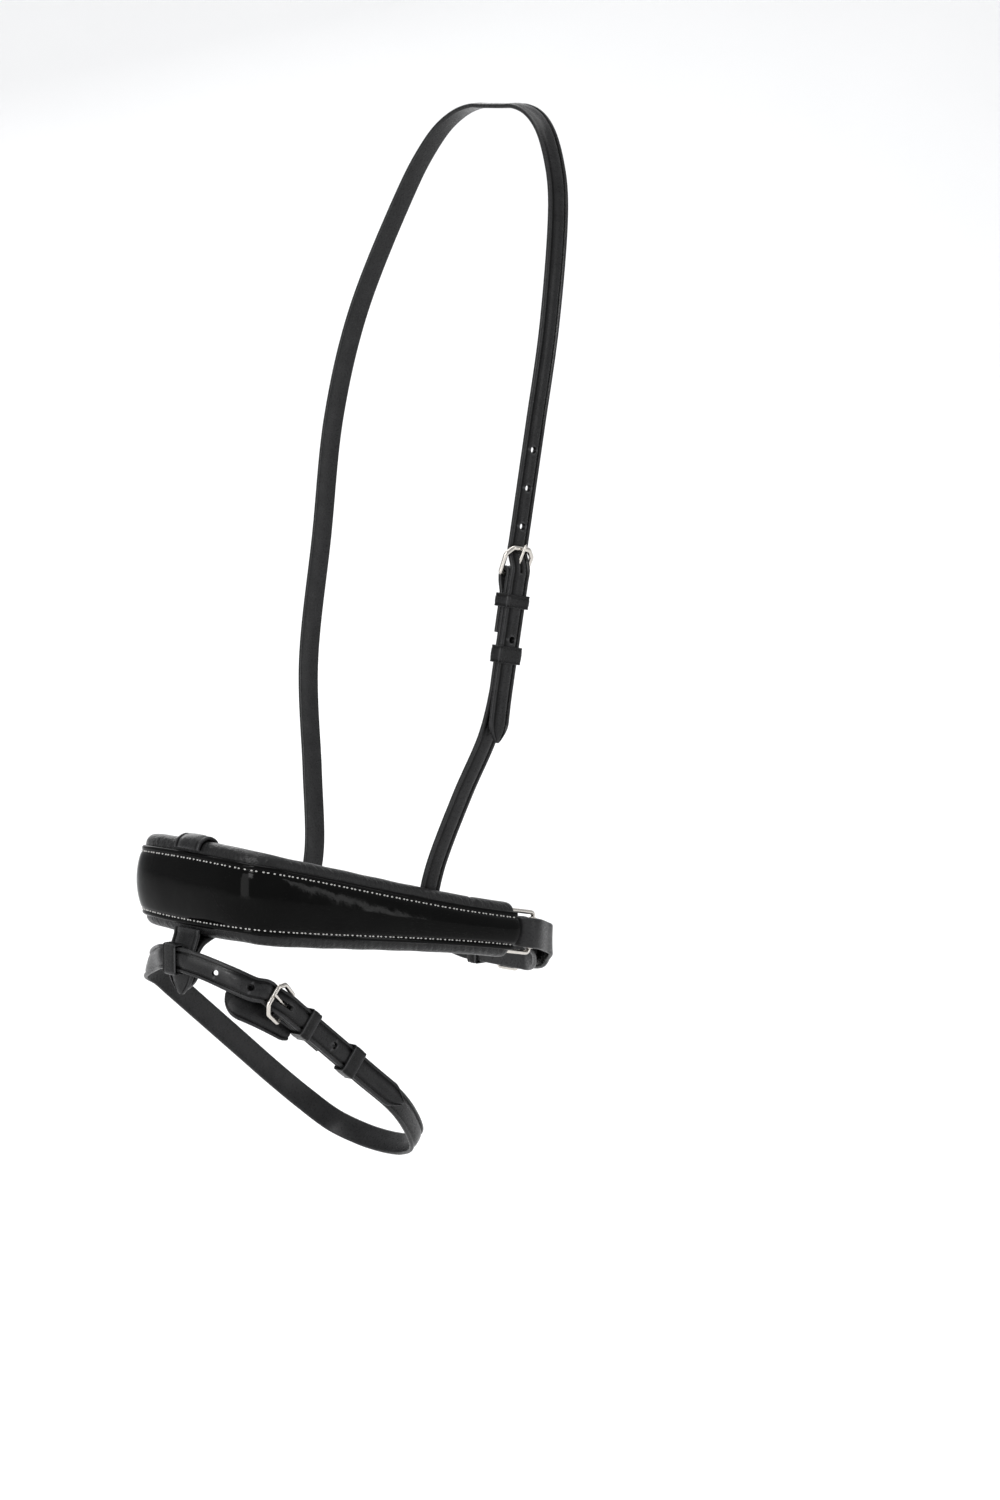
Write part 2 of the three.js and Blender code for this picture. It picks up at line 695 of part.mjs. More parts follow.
// Points of the bends beside the jaw, by how far they are before and above the flat under it.
const jaw = (before, part, above) => vec(jawReach - before, -jawHalf * part, above - jawDrop);
const jawBend = [jaw(16, 0.775, 14), jaw(8.5, 0.658, 8), jaw(3, 0.525, 2.5)];
const jawOuter = [
  jaw(14.5, 0.917, 16),
  jaw(7, 0.842, 13),
  jaw(1.5, 0.683, 7.5),
  jaw(-1.5, 0.558, 2.5),
];
const sewnEnd = [jaw(6.3, 0.695, 8), jaw(11.5, 0.825, 13.5)];
const jawFlat = [vec(jawReach, -24, -jawDrop), vec(jawReach, -20, -jawDrop)];
const intoRing = [at(near, turnX, -ringTurn), at(near, ringLength, -ringTurn + 0.2)];
const quarter = [1, 0, -1].map((k) => {
  const a = (k * Math.PI) / 4;
  return at(near, turnX - ringTurn * Math.cos(a), ringTurn * Math.sin(a));
});
const outOfRing = [at(near, turnX, ringTurn), at(near, ringLength, ringTurn - 0.2)];
const crankBar = vec(jawReach + foldLevel + layer, 4, -jawDrop); // its buckle's rear bar
const crankPlace = placeOf(crankBar, vec(0, -1, 0), vec(1, 0, 0));
const flip = (points) => points.slice().reverse().map(mirrored);
const crankRoute = [
  ...sewnEnd.map(mirrored),
  ...flip(outOfRing),
  ...flip(quarter.slice().reverse()),
  ...flip(intoRing).reverse(),
  ...jawBend.map(mirrored),
  ...jawFlat.map(mirrored),
  ...jawFlat.slice().reverse(),
  ...jawBend.slice().reverse(),
  ...intoRing.slice().reverse(),
  ...quarter.slice().reverse(),
  ...outOfRing,
  ...jawOuter,
  at(crankPlace, 1.7 * buckleReach, billetUnder - 0.8),
  at(crankPlace, 1.25 * buckleReach, billetUnder),
  at(crankPlace, 0.9 * buckleReach, billetUnder),
  at(crankPlace, 0.22 * buckleReach, billetOver),
  at(crankPlace, -3, billetOver),
  at(crankPlace, -10, 2 * layer - foldLevel),
  at(crankPlace, -18, 2 * layer - foldLevel),
  at(crankPlace, -24, layer),
  ...flip(jawOuter.slice(2)),
];
const crank = strap(crankRoute, upright, crankWidth, strapThick, { end: 12 });
add("crank_strap", cut(crank.geometry, [billetSlot(crankPlace)]), leather);
const chapeRoute = [
  at(crankPlace, -17, -foldLevel),
  at(crankPlace, -3, -foldLevel),
  ...halfTurn(crankPlace, foldLevel).reverse(),
  at(crankPlace, -4, foldLevel - 0.5),
  at(crankPlace, -10, layer - foldLevel),
  at(crankPlace, -17, layer - foldLevel),
];
const chape = strap(chapeRoute, upright, crankWidth, strapThick);
add("crank_chape", cut(chape.geometry, [foldSlot(crankPlace)]), leather);
buckle("crank", crankPlace, crankWidth);
const crankLow = -foldLevel - layer - strapThick / 2;
const crankHigh = 2 * layer - foldLevel + strapThick / 2;
keeper("crank_keeper", crankPlace, -14, keeperLength, crankWidth, crankLow, crankHigh);

export default root;
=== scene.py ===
"""Looks for a padded crank noseband with its flash strap and sliphead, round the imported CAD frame."""

import math
import random

import bmesh
import bpy
import numpy as np
from mathutils import Matrix, Vector


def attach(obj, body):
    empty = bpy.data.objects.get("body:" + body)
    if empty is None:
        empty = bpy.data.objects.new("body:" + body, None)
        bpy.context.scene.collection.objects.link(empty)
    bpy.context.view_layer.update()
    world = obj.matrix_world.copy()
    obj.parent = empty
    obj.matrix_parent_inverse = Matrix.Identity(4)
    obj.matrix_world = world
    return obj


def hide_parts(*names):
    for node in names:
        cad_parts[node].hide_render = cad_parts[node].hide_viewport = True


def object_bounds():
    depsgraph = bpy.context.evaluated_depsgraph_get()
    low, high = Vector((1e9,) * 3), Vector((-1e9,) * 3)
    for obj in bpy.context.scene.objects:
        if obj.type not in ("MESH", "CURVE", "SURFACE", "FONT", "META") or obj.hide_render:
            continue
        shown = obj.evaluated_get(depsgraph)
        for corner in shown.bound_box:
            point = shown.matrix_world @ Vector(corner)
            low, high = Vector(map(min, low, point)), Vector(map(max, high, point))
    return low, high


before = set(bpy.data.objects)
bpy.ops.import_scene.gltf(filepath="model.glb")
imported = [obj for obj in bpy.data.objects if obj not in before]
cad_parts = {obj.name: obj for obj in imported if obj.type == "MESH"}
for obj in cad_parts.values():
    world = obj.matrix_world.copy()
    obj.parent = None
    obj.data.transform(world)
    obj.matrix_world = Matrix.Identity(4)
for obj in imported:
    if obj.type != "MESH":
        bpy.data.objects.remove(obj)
cad_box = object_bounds()

# ---- sizes in millimetres, the same as the CAD's ----
MM = 0.001
GAP = 0.3
BED = 0.5
NOSE_HALF = 51.8
JAW_HALF = 60
BAND_REACH = 171
BAND_FALL = 0.2
CORNER_REACH = 24
BAND_HEIGHT = (50, 30)  # at the nose, at the rear ends
SEWN_HEIGHT = (32, 14.4)
FACING_MARGIN = 3
FACING_THICK = 1.5
FACING_RISE = 3
PAD_DEPTH = 11
STRAP_WIDTH = 13
STRAP_THICK = 2.4
CRANK_WIDTH = 16
HANGER_WIDTH = 20
HANGER_THICK = 2
HOLE_PITCH = 20
HOLE_RADIUS = 1.3
HOLE_WEAR = 0.6
STITCH_PITCH = 2.6
WIRE = 1.3
TONGUE = 1
BUCKLE_REACH = 13.5
RING_WIRE = 1.2
RING_LENGTH = 18
RING_HEIGHT = 21.6
TAB_THICK = 2
KEEPER_WALL = 1.2
KEEPER_LENGTH = 7
RUNNER_LENGTH = 9
POLL_HEIGHT = 398
POLL_REACH = BAND_REACH + 43

FOLD = WIRE + GAP + STRAP_THICK / 2
LAYER = STRAP_THICK + GAP
OVER = FOLD + LAYER
LIFT = FOLD + STRAP_THICK / 2
UNDER = LIFT - WIRE - GAP - STRAP_THICK / 2
TONGUE_START = WIRE + GAP + TONGUE
TONGUE_TOP = LIFT + WIRE + GAP + TONGUE
TONGUE_HOLE = BUCKLE_REACH * 0.41
TONGUE_LEVEL = OVER - LAYER / 2

# The crown's underside is the row's origin; routes are given from the front of the band.
ORIGIN = np.array([-POLL_REACH, 0, STRAP_THICK / 2 - POLL_HEIGHT])

rng = random.Random(7)


def vec(x, y, z):
    return np.array([x, y, z], dtype=float)


def unit(v):
    return v / np.linalg.norm(v)


def mirrored(p):
    return vec(p[0], -p[1], p[2])


def smoothstep(x, low, high):
    t = min(1.0, max(0.0, (x - low) / (high - low)))
    return t * t * (3 - 2 * t)


# ---- camera first: the photograph's direction, height and framing ----
AZIMUTH = math.radians(-42)
ELEVATION = math.radians(7.6)
MM_PER_PIXEL = 0.514
DISTANCE = 2600
away = vec(
    math.sin(AZIMUTH) * math.cos(ELEVATION),
    -math.cos(AZIMUTH) * math.cos(ELEVATION),
    math.sin(ELEVATION),
)
right = vec(math.cos(AZIMUTH), math.sin(AZIMUTH), 0)
up = np.cross(away, right)
middle = right * 160 + up * 71  # the picture's centre, from the front of the band


def make_camera():
    camera = bpy.data.cameras.new("camera")
    camera.sensor_fit = "VERTICAL"
    camera.sensor_height = 36
    picture_height = 1500 * MM_PER_PIXEL
    camera.lens = camera.sensor_height * DISTANCE / picture_height
    camera.clip_start = 0.05
    camera.clip_end = 50
    holder = bpy.data.objects.new("camera", camera)
    bpy.context.scene.collection.objects.link(holder)
    place = (middle + away * DISTANCE + ORIGIN) * MM
    rows = [[right[i], up[i], away[i], place[i]] for i in range(3)]
    holder.matrix_world = Matrix([*rows, [0, 0, 0, 1]])
    bpy.context.scene.camera = holder


make_camera()


# ---- materials ----
class Nodes:
    """A new material's node tree, with short ways to add to it."""

    def __init__(self, name):
        self.material = bpy.data.materials.new(name)
        self.material.use_nodes = True
        self.tree = self.material.node_tree
        self.shader = self.tree.nodes["Principled BSDF"]
        self.place = self.add("ShaderNodeTexCoord").outputs["Object"]

    def add(self, kind, **settings):
        node = self.tree.nodes.new(kind)
        for key, value in settings.items():
            setattr(node, key, value)
        return node

    def link(self, source, target):
        self.tree.links.new(source, target)

    def set(self, **values):
        for key, value in values.items():
            self.shader.inputs[key.replace("_", " ")].default_value = value

    def noise(self, scale, detail=3, roughness=0.5, stretch=None):
        node = self.add("ShaderNodeTexNoise")
        node.inputs["Scale"].default_value = scale
        node.inputs["Detail"].default_value = detail
        node.inputs["Roughness"].default_value = roughness
        source = self.place
        if stretch:
            mapping = self.add("ShaderNodeMapping")
            mapping.inputs["Scale"].default_value = stretch
            self.link(source, mapping.inputs["Vector"])
            source = mapping.outputs["Vector"]
        self.link(source, node.inputs["Vector"])
        return node.outputs["Fac"]

    def cells(self, scale, feature="F1"):
        node = self.add("ShaderNodeTexVoronoi", feature=feature)
        node.inputs["Scale"].default_value = scale
        self.link(self.place, node.inputs["Vector"])
        return node.outputs["Distance"]

    def ramp(self, source, low, high, span=(0.3, 0.7)):
        node = self.add("ShaderNodeMapRange")
        node.inputs["From Min"].default_value = span[0]
        node.inputs["From Max"].default_value = span[1]
        node.inputs["To Min"].default_value = low
        node.inputs["To Max"].default_value = high
        self.link(source, node.inputs["Value"])
        return node.outputs["Result"]

    def edges(self, low, high):
        """Painted light from the mesh's pointiness: low in a crease or corner for painted shade, high
        along an edge for a painted highlight.
        """
        # Pointiness darkens concave creases and lightens convex edges: painted shade and painted
        # highlight.
        pointiness = self.add("ShaderNodeNewGeometry").outputs["Pointiness"]
        return self.ramp(pointiness, low, high, (0.44, 0.6))

    def total(self, first, second):
        node = self.add("ShaderNodeMath", operation="ADD", use_clamp=True)
        self.link(first, node.inputs[0])
        self.link(second, node.inputs[1])
        return node.outputs["Value"]

    def tint(self, source, dark, light):
        node = self.add("ShaderNodeMix", data_type="RGBA")
        node.inputs["A"].default_value = (*dark, 1)
        node.inputs["B"].default_value = (*light, 1)
        self.link(source, node.inputs["Factor"])
        self.link(node.outputs["Result"], self.shader.inputs["Base Color"])

    def bumps(self, *layers):
        """Each layer is (height source, distance in metres)."""
        normal = None
        for source, depth in layers:
            node = self.add("ShaderNodeBump")
            node.inputs["Strength"].default_value = 1
            node.inputs["Distance"].default_value = depth
            self.link(source, node.inputs["Height"])
            if normal:
                self.link(normal, node.inputs["Normal"])
            normal = node.outputs["Normal"]
        self.link(normal, self.shader.inputs["Normal"])


def patent_leather():
    n = Nodes("patent leather")
    n.tint(n.noise(60), (0.0015, 0.0015, 0.0015), (0.0032, 0.0033, 0.0031))
    n.link(n.ramp(n.noise(260, 5), 0.05, 0.15), n.shader.inputs["Roughness"])
    n.bumps((n.noise(60, 2), 0.0003), (n.noise(700, 2), 0.00002))
    n.set(Specular_IOR_Level=0.05)
    return n.material


def bridle_leather():
    n = Nodes("bridle leather")
    # The colour mixes a random tone with a painted highlight along edges and painted shade in creases.
    tone_and_painted_edge_light = n.total(n.ramp(n.noise(140, 4, 0.6), 0, 0.16), n.edges(-0.5, 0.9))
    n.tint(tone_and_painted_edge_light, (0.002, 0.002, 0.0021), (0.04, 0.04, 0.041))
    n.link(n.ramp(n.noise(700, 4, 0.6), 0.22, 0.38), n.shader.inputs["Roughness"])
    n.bumps((n.cells(1500), 0.00004), (n.noise(2600, 3), 0.00002), (n.noise(90, 3), 0.0002))
    n.set(Specular_IOR_Level=0.17)
    return n.material


def soft_leather():
    n = Nodes("soft leather")
    n.tint(n.noise(200, 3), (0.005, 0.005, 0.0052), (0.011, 0.011, 0.0112))
    n.link(n.ramp(n.noise(600, 4, 0.6), 0.26, 0.42), n.shader.inputs["Roughness"])
    creases = n.cells(520, "DISTANCE_TO_EDGE")
    n.bumps((creases, 0.0003), (n.cells(1700), 0.00006), (n.noise(260, 4), 0.0005))
    n.set(Specular_IOR_Level=0.22)
    return n.material


def polished_steel():
    n = Nodes("polished steel")
    n.tint(n.noise(300, 4), (0.50, 0.47, 0.43), (0.66, 0.63, 0.59))
    n.link(n.ramp(n.noise(900, 5, 0.7), 0.13, 0.3), n.shader.inputs["Roughness"])
    n.bumps((n.noise(240, 3), 0.00003), (n.noise(3000, 2), 0.000005))
    n.set(Metallic=1.0)
    return n.material


def waxed_thread():
    n = Nodes("waxed thread")
    n.tint(n.noise(2500, 2), (0.3, 0.3, 0.29), (0.5, 0.49, 0.47))
    n.link(n.ramp(n.noise(3000, 2), 0.45, 0.65), n.shader.inputs["Roughness"])
    n.bumps((n.noise(5000, 2), 0.00005))
    return n.material


def padding():
    n = Nodes("padding")
    n.tint(n.noise(900, 4), (0.30, 0.29, 0.26), (0.42, 0.40, 0.36))
    n.link(n.ramp(n.noise(900, 2), 0.85, 0.98), n.shader.inputs["Roughness"])
    n.bumps((n.cells(1200), 0.0002))
    return n.material


PATENT = patent_leather()
LEATHER = bridle_leather()
SOFT = soft_leather()
STEEL = polished_steel()
THREAD = waxed_thread()
PADDING = padding()


# ---- meshes ----
SHARP_ANGLE = 42


def fill_mesh(mesh, points, faces):
    """Fills a mesh from points in millimetres from the front of the band, and turns its faces out."""
    mesh.from_pydata(((np.asarray(points) + ORIGIN) * MM).tolist(), [], faces)
    mesh.validate()
    work = bmesh.new()
    work.from_mesh(mesh)
    bmesh.ops.recalc_face_normals(work, faces=work.faces)
    work.to_mesh(mesh)
    work.free()


def make_piece(name, points, faces, look, body, replaces=(), sharp=SHARP_ANGLE):
    """A piece from points in millimetres, measured from the front of the band."""
    mesh = bpy.data.meshes.new(name)
    fill_mesh(mesh, points, faces)
    mesh.materials.append(look)
    mesh.shade_smooth()
    mesh.set_sharp_from_angle(angle=math.radians(sharp))
    piece = bpy.data.objects.new(name, mesh)
    bpy.context.scene.collection.objects.link(piece)
    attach(piece, body)
    if replaces:
        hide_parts(*replaces)
    return piece


def skin(rings, closed=False):
    """Joins rings of points into a closed skin and returns its points and faces."""
    rings = np.asarray(rings)
    count, size = rings.shape[:2]
    faces = []
    for i in range(count if closed else count - 1):
        here = i * size
        there = ((i + 1) % count) * size
        for k in range(size):
            j = (k + 1) % size
            faces.append((here + k, there + k, there + j, here + j))
    if not closed:
        faces.append(tuple(range(size)))
        last = (count - 1) * size
        faces.append(tuple(last + k for k in reversed(range(size))))
    return rings.reshape(-1, 3), faces


def merge(parts):
    """Several (points, faces) as one."""
    points = []
    faces = []
    start = 0
    for more, quads in parts:
        points.append(more)
        faces += [tuple(start + k for k in quad) for quad in quads]
        start += len(more)
    return np.concatenate(points), faces


# ---- routes ----
def smooth_route(points, per_span=24):
    """A centripetal Catmull-Rom curve through the points, as in the CAD."""
    knots = [2 * points[0] - points[1], *points, 2 * points[-1] - points[-2]]
    curve = []
    for p0, p1, p2, p3 in zip(knots, knots[1:], knots[2:], knots[3:]):
        d0, d1, d2 = (math.sqrt(np.linalg.norm(b - a)) for a, b in ((p0, p1), (p1, p2), (p2, p3)))
        start = d1 * ((p1 - p0) / d0 - (p2 - p0) / (d0 + d1) + (p2 - p1) / d1)
        end = d1 * ((p2 - p1) / d1 - (p3 - p1) / (d1 + d2) + (p3 - p2) / d2)
        for i in range(per_span):
            t = i / per_span
            curve.append(
                p1
                + start * t
                + (3 * (p2 - p1) - 2 * start - end) * t**2
                + (2 * (p1 - p2) + start + end) * t**3
            )
    curve.append(points[-1])
    return np.array(curve)


def even(curve, step):
    """The curve's points again, one every step."""
    lengths = np.concatenate([[0], np.cumsum(np.linalg.norm(np.diff(curve, axis=0), axis=1))])
    count = max(2, round(lengths[-1] / step))
    wanted = np.linspace(0, lengths[-1], count + 1)
    return np.stack([np.interp(wanted, lengths, curve[:, k]) for k in range(3)], axis=1), wanted


class Run:
    """Stations along a route: points, travel, across and out at each, and the distance so far."""

    def __init__(self, route, wide, step=1.0):
        self.points, self.far = even(smooth_route(route), step)
        self.travel = np.gradient(self.points, axis=0)
        self.travel /= np.linalg.norm(self.travel, axis=1)[:, None]
        width = np.array([wide(p) for p in self.points])
        width -= self.travel * np.sum(width * self.travel, axis=1)[:, None]
        self.across = width / np.linalg.norm(width, axis=1)[:, None]
        self.out = np.cross(self.across, self.travel)
        self.length = self.far[-1]

    def rings(self, section_at):
        rings = []
        for i, far in enumerate(self.far):
            section = np.asarray(section_at(far, self.length - far))
            rings.append(self.points[i] + section[:, :1] * self.across[i] + section[:, 1:] * self.out[i])
        return rings

    def nearest(self, point):
        return int(np.argmin(np.linalg.norm(self.points - point, axis=1)))

    def at_distance(self, far):
        return int(np.argmin(np.abs(self.far - far)))


def strap_section(width, thick, crease=0.6, margin=2.3, crown=0.3):
    """A strap's section: rounded edges, a slightly crowned outer face and a crease inside each edge."""
    w = width / 2
    h = thick / 2
    r = thick * 0.42
    corner = [0, 30, 60, 90]
    points = []
    for sx, sy, angles in ((1, -1, (-90, 0)), (1, 1, (0, 90)), (-1, 1, (90, 180)), (-1, -1, (180, 270))):
        for k in corner:
            a = math.radians(angles[0] + k)
            points.append([sx * (w - r) + r * math.cos(a), sy * (h - r) + r * math.sin(a)])
        if (sx, sy) == (1, 1):
            edge = w - margin
            groove = [
                [edge + 0.7, h],
                [edge + 0.25, h - crease],
                [edge - 0.25, h - crease],
                [edge - 1, h],
                [edge * 0.45, h + crown],
                [0, h + crown * 1.3],
            ]
            points += groove
            points += [[-a, o] for a, o in reversed(groove[:-1])]
    return points


def tip_width(width, far, length, blunt):
    part = min(1, far / length)
    return width * (blunt + (1 - blunt) * math.sin(part * math.pi / 2))


def strap_rings(run, width, thick, tips=(0, 0), blunt=0.12):
    """A strap's rings along a run, each end pointed over its length in tips and slightly thinned."""
    full = np.array(strap_section(width, thick))

    def section(start, end):
        now = width
        if tips[0]:
            now = min(now, tip_width(width, start, tips[0], blunt))
        if tips[1]:
            now = min(now, tip_width(width, end, tips[1], blunt))
        edge = min(start, end)
        thin = 1 - 0.35 * max(0, 1 - edge / 0.8)
        return full * [now / width, thin]

    return run.rings(section)


def cut_holes(piece, run, holes):
    """Punches round holes, with worn rims, through a strap at the numbered stations."""
    angles = [k * math.pi / 10 for k in range(20)]
    rim = HOLE_RADIUS + HOLE_WEAR
    surface = STRAP_THICK / 2
    beyond = 4
    profile = [(-beyond, rim), (-surface, rim), (0, HOLE_RADIUS), (surface, rim), (beyond, rim)]
    cutters = []
    for i in holes:
        rings = []
        for depth, radius in profile:
            centre = run.points[i] + run.out[i] * depth
            across = run.across[i] * radius
            along = run.travel[i] * radius
            rings.append([centre + across * math.cos(a) + along * math.sin(a) for a in angles])
        cutters.append(skin(rings))
    subtract(piece, *merge(cutters))


def subtract(piece, points, faces):
    """Takes a solid, given as points and faces, out of a piece."""
    mesh = bpy.data.meshes.new("cutter")
    fill_mesh(mesh, points, faces)
    cutter = bpy.data.objects.new("cutter", mesh)
    bpy.context.scene.collection.objects.link(cutter)
    modifier = piece.modifiers.new("holes", "BOOLEAN")
    modifier.operation = "DIFFERENCE"
    modifier.solver = "EXACT"
    modifier.use_self = True
    modifier.object = cutter
    graph = bpy.context.evaluated_depsgraph_get()
    result = bpy.data.meshes.new_from_object(piece.evaluated_get(graph))
    piece.modifiers.clear()
    old = piece.data
    piece.data = result
    bpy.data.meshes.remove(old)
    bpy.data.objects.remove(cutter)
    bpy.data.meshes.remove(mesh)
    piece.data.set_sharp_from_angle(angle=math.radians(SHARP_ANGLE))


# ---- places: x along a strap, z its outer side ----
class Place:
    """The axes a buckle, ring or loop is built in; y lies along its bar."""

    def __init__(self, origin, along, out):
        self.origin = origin
        self.x = unit(along)
        self.y = unit(np.cross(out, self.x))
        self.z = np.cross(self.x, self.y)

    def at(self, x, z, y=0):
        return self.origin + self.x * x + self.y * y + self.z * z

    def all(self, points):
        return np.array([self.at(x, z, y) for x, y, z in points])


def half_turn(place, radius):
    """The route of a strap that folds round a bar, from its outer side to its inner side."""
    angles = (math.radians(a) for a in (90, 45, 0, -45, -90))
    return [place.at(radius * math.cos(a), radius * math.sin(a)) for a in angles]


# ---- wires and loops ----
def rounded(corners, bend, steps=7):
    """A closed plane outline with its corners rounded."""
    points = []
    corners = [np.array(c, dtype=float) for c in corners]
    for i, corner in enumerate(corners):
        before = corners[i - 1]
        after = corners[(i + 1) % len(corners)]
        start = corner + unit(before - corner) * bend
        end = corner + unit(after - corner) * bend
        for k in range(steps + 1):
            t = k / steps
            points.append(start * (1 - t) ** 2 + corner * 2 * t * (1 - t) + end * t**2)
    return points


def resample_loop(points, step):
    """A closed outline's points again, one every step."""
    loop = np.array([*points, points[0]])
    lengths = np.concatenate([[0], np.cumsum(np.linalg.norm(np.diff(loop, axis=0), axis=1))])
    count = max(8, round(lengths[-1] / step))
    wanted = np.linspace(0, lengths[-1], count + 1)[:-1]
    return np.stack([np.interp(wanted, lengths, loop[:, k]) for k in range(loop.shape[1])], axis=1)


def loop_rings(outline, section):
    """Sweeps a section, as (sideways, up) pairs, round a closed plane outline."""
    rings = []
    count = len(outline)
    for i, point in enumerate(outline):
        travel = unit(outline[(i + 1) % count] - outline[i - 1])
        side = np.array([travel[1], -travel[0]])
        rings.append([[*(point + side * a), o] for a, o in section])
    return np.array(rings)


def round_section(radius, flat=1.0, sides=20):
    return [
        [radius * math.cos(2 * math.pi * k / sides), radius * flat * math.sin(2 * math.pi * k / sides)]
        for k in range(sides)
    ]


def buckle(name, place, width, body_frame, body_tongue):
    """A wire frame with cut corners, tilted over the strap, and a tongue whose eye turns on its bar."""
    side = width / 2 + 2 * GAP + WIRE
    slant = math.hypot(BUCKLE_REACH, LIFT)
    cut = 2.4 * WIRE
    corners = [
        [0, -side],
        [slant * 0.72, -side - 0.6],
        [slant, cut - side],
        [slant, side - cut],
        [slant * 0.72, side + 0.6],
        [0, side],
    ]
    outline = resample_loop(rounded(corners, WIRE * 0.7), 0.4)
    rings = loop_rings(outline, round_section(WIRE, 0.92))
    tilt = math.atan2(LIFT, BUCKLE_REACH)
    tilted = rings.copy()
    tilted[..., 0] = rings[..., 0] * math.cos(tilt) - rings[..., 2] * math.sin(tilt)
    tilted[..., 2] = rings[..., 0] * math.sin(tilt) + rings[..., 2] * math.cos(tilt)
    points, faces = skin(tilted, closed=True)
    frame_node = f"{name}_buckle_frame"
    make_piece(f"{frame_node}_v", place.all(points), faces, STEEL, body_frame, [frame_node], 60)

    eye = []
    inner = WIRE + GAP
    for k in range(28):
        a = 2 * math.pi * k / 28
        middle_radius = inner + 0.75 * TONGUE
        ring = []
        for u, w in round_section(0.72 * TONGUE, 1.5, 12):
            r = middle_radius + u
            ring.append([r * math.cos(a), w, r * math.sin(a)])
        eye.append(ring)
    length = BUCKLE_REACH + WIRE + 1.2
    slope = (TONGUE_TOP - TONGUE_START) / BUCKLE_REACH
    sag = 0.25
    rod = []
    for k in range(25):
        t = k / 24
        x = length * t
        thin = 1 - 0.22 * t
        if t > 0.9:
            thin *= math.sqrt(max(0.02, 1 - ((t - 0.9) / 0.1) ** 2))
        z = TONGUE_START + slope * x - sag * math.sin(math.pi * t)
        rod.append([[x, u * thin, z + w * thin] for u, w in round_section(TONGUE, 0.85, 14)])
    points, faces = merge([skin(eye, closed=True), skin(rod)])
    tongue_node = f"{name}_buckle_tongue"
    make_piece(f"{tongue_node}_v", place.all(points), faces, STEEL, body_tongue, [tongue_node], 60)


def keeper(name, place, x, length, width, low, high, body):
    """A leather loop round every layer of strap, with creased and rounded edges."""
    half = width / 2 + GAP + KEEPER_WALL / 2
    low = low - GAP - KEEPER_WALL / 2
    high = high + GAP + KEEPER_WALL / 2
    corners = [[half, low], [half, high], [-half, high], [-half, low]]
    outline = resample_loop(rounded(corners, 1.1), 0.5)
    flat = strap_section(length, KEEPER_WALL * 0.96, crease=0.14, margin=1.1, crown=0.06)
    section = [[o, a] for a, o in reversed(flat)]
    rings = loop_rings(outline, section)
    points, faces = skin(rings, closed=True)
    placed = np.array([place.at(x + p[2], p[1], p[0]) for p in points])
    make_piece(f"{name}_v", placed, faces, LEATHER, body, [name])


def stitch_row(centres, travels, outs, length=1.4, radius=0.42):
    """Thread stitches as small humps, pulled down into the leather at both ends."""
    parts = []
    for centre, travel, out in zip(centres, travels, outs):
        side = np.cross(travel, out)
        rings = []
        for t in (-1, -0.8, -0.4, 0, 0.4, 0.8, 1):
            thick = radius * math.sqrt(max(0.05, 1 - t * t))
            middle_point = centre + travel * (t * length / 2) + out * (0.4 * radius * (1 - 2.2 * t * t))
            rings.append(
                [
                    middle_point + side * thick * math.cos(a) + out * thick * math.sin(a)
                    for a in (2 * math.pi * k / 7 for k in range(7))
                ]
            )
        parts.append(skin(rings))
    return merge(parts)


# ---- the noseband ----
def bezier(a, b, c, d, count):
    """Points along a cubic curve."""
    ts = np.linspace(0, 1, count + 1)[:, None]
    return a * (1 - ts) ** 3 + 3 * b * ts * (1 - ts) ** 2 + 3 * c * ts**2 * (1 - ts) + d * ts**3


def plan_points():
    """The band's near half seen from above, from the rear end to the middle of the nose."""

    def flat(x, y):
        return np.array([x, y], dtype=float)

    side = bezier(
        flat(BAND_REACH, -JAW_HALF),
        flat(BAND_REACH * 0.7, -JAW_HALF * 1.067),
        flat(CORNER_REACH * 2.5, -NOSE_HALF * 1.1),
        flat(CORNER_REACH, -NOSE_HALF),
        8,
    )
    nose = bezier(
        flat(CORNER_REACH, -NOSE_HALF),
        flat(CORNER_REACH * 0.17, -NOSE_HALF * 0.946),
        flat(0, -NOSE_HALF * 0.81),
        flat(0, 0),
        13,
    )
    return [vec(x, y, -BAND_FALL * x) for x, y in [*side, *nose[1:]]]


near_plan = plan_points()
band_route = [*near_plan, *(mirrored(p) for p in reversed(near_plan[:-1]))]
band = Run(band_route, lambda p: vec(0, 0, 1), step=1.0)
half_length = band.length / 2
ROLL = PAD_DEPTH / 2


def band_half(pair, far):
    """Half of a height that grows from the band's rear ends to the nose, at a distance along it."""
    front, rear = pair
    fade = 0.5 - 0.5 * math.cos(math.pi * min(1, far / half_length))
    return (rear + (front - rear) * fade) / 2


def facing_top(sewn, height):
    """Height of the facing's outer surface: domed between the rows and drawn down along each row."""
    s = abs(height) / sewn
    dome = FACING_RISE * max(0, 1 - s**2) ** 0.85
    groove = 0.45 * math.exp(-(((abs(height) - sewn) / 0.8) ** 2))
    return BED + FACING_THICK + dome - groove


def make_facing():
    """The raised patent layer, with rounded edges and a groove along each row of stitches."""
    steps = 44

    def section(start, end):
        far = min(start, end)
        sewn = band_half(SEWN_HEIGHT, far)
        half = sewn + FACING_MARGIN
        tuck = 0.5 * math.exp(-far / 1.5)
        bottom = [[half * (2 * k / 6 - 1), BED] for k in range(7)]
        top = []
        for k in range(steps + 1):
            h = half * (1 - 2 * k / steps)
            round_edge = 1.15 * math.exp(-(half - abs(h)) / 0.45)
            top.append([h, facing_top(sewn, h) - round_edge * 0.8 - tuck])
        return bottom + top

    points, faces = skin(band.rings(section))
    make_piece("facing_v", points, faces, PATENT, "bridle", ["noseband_facing"], 50)


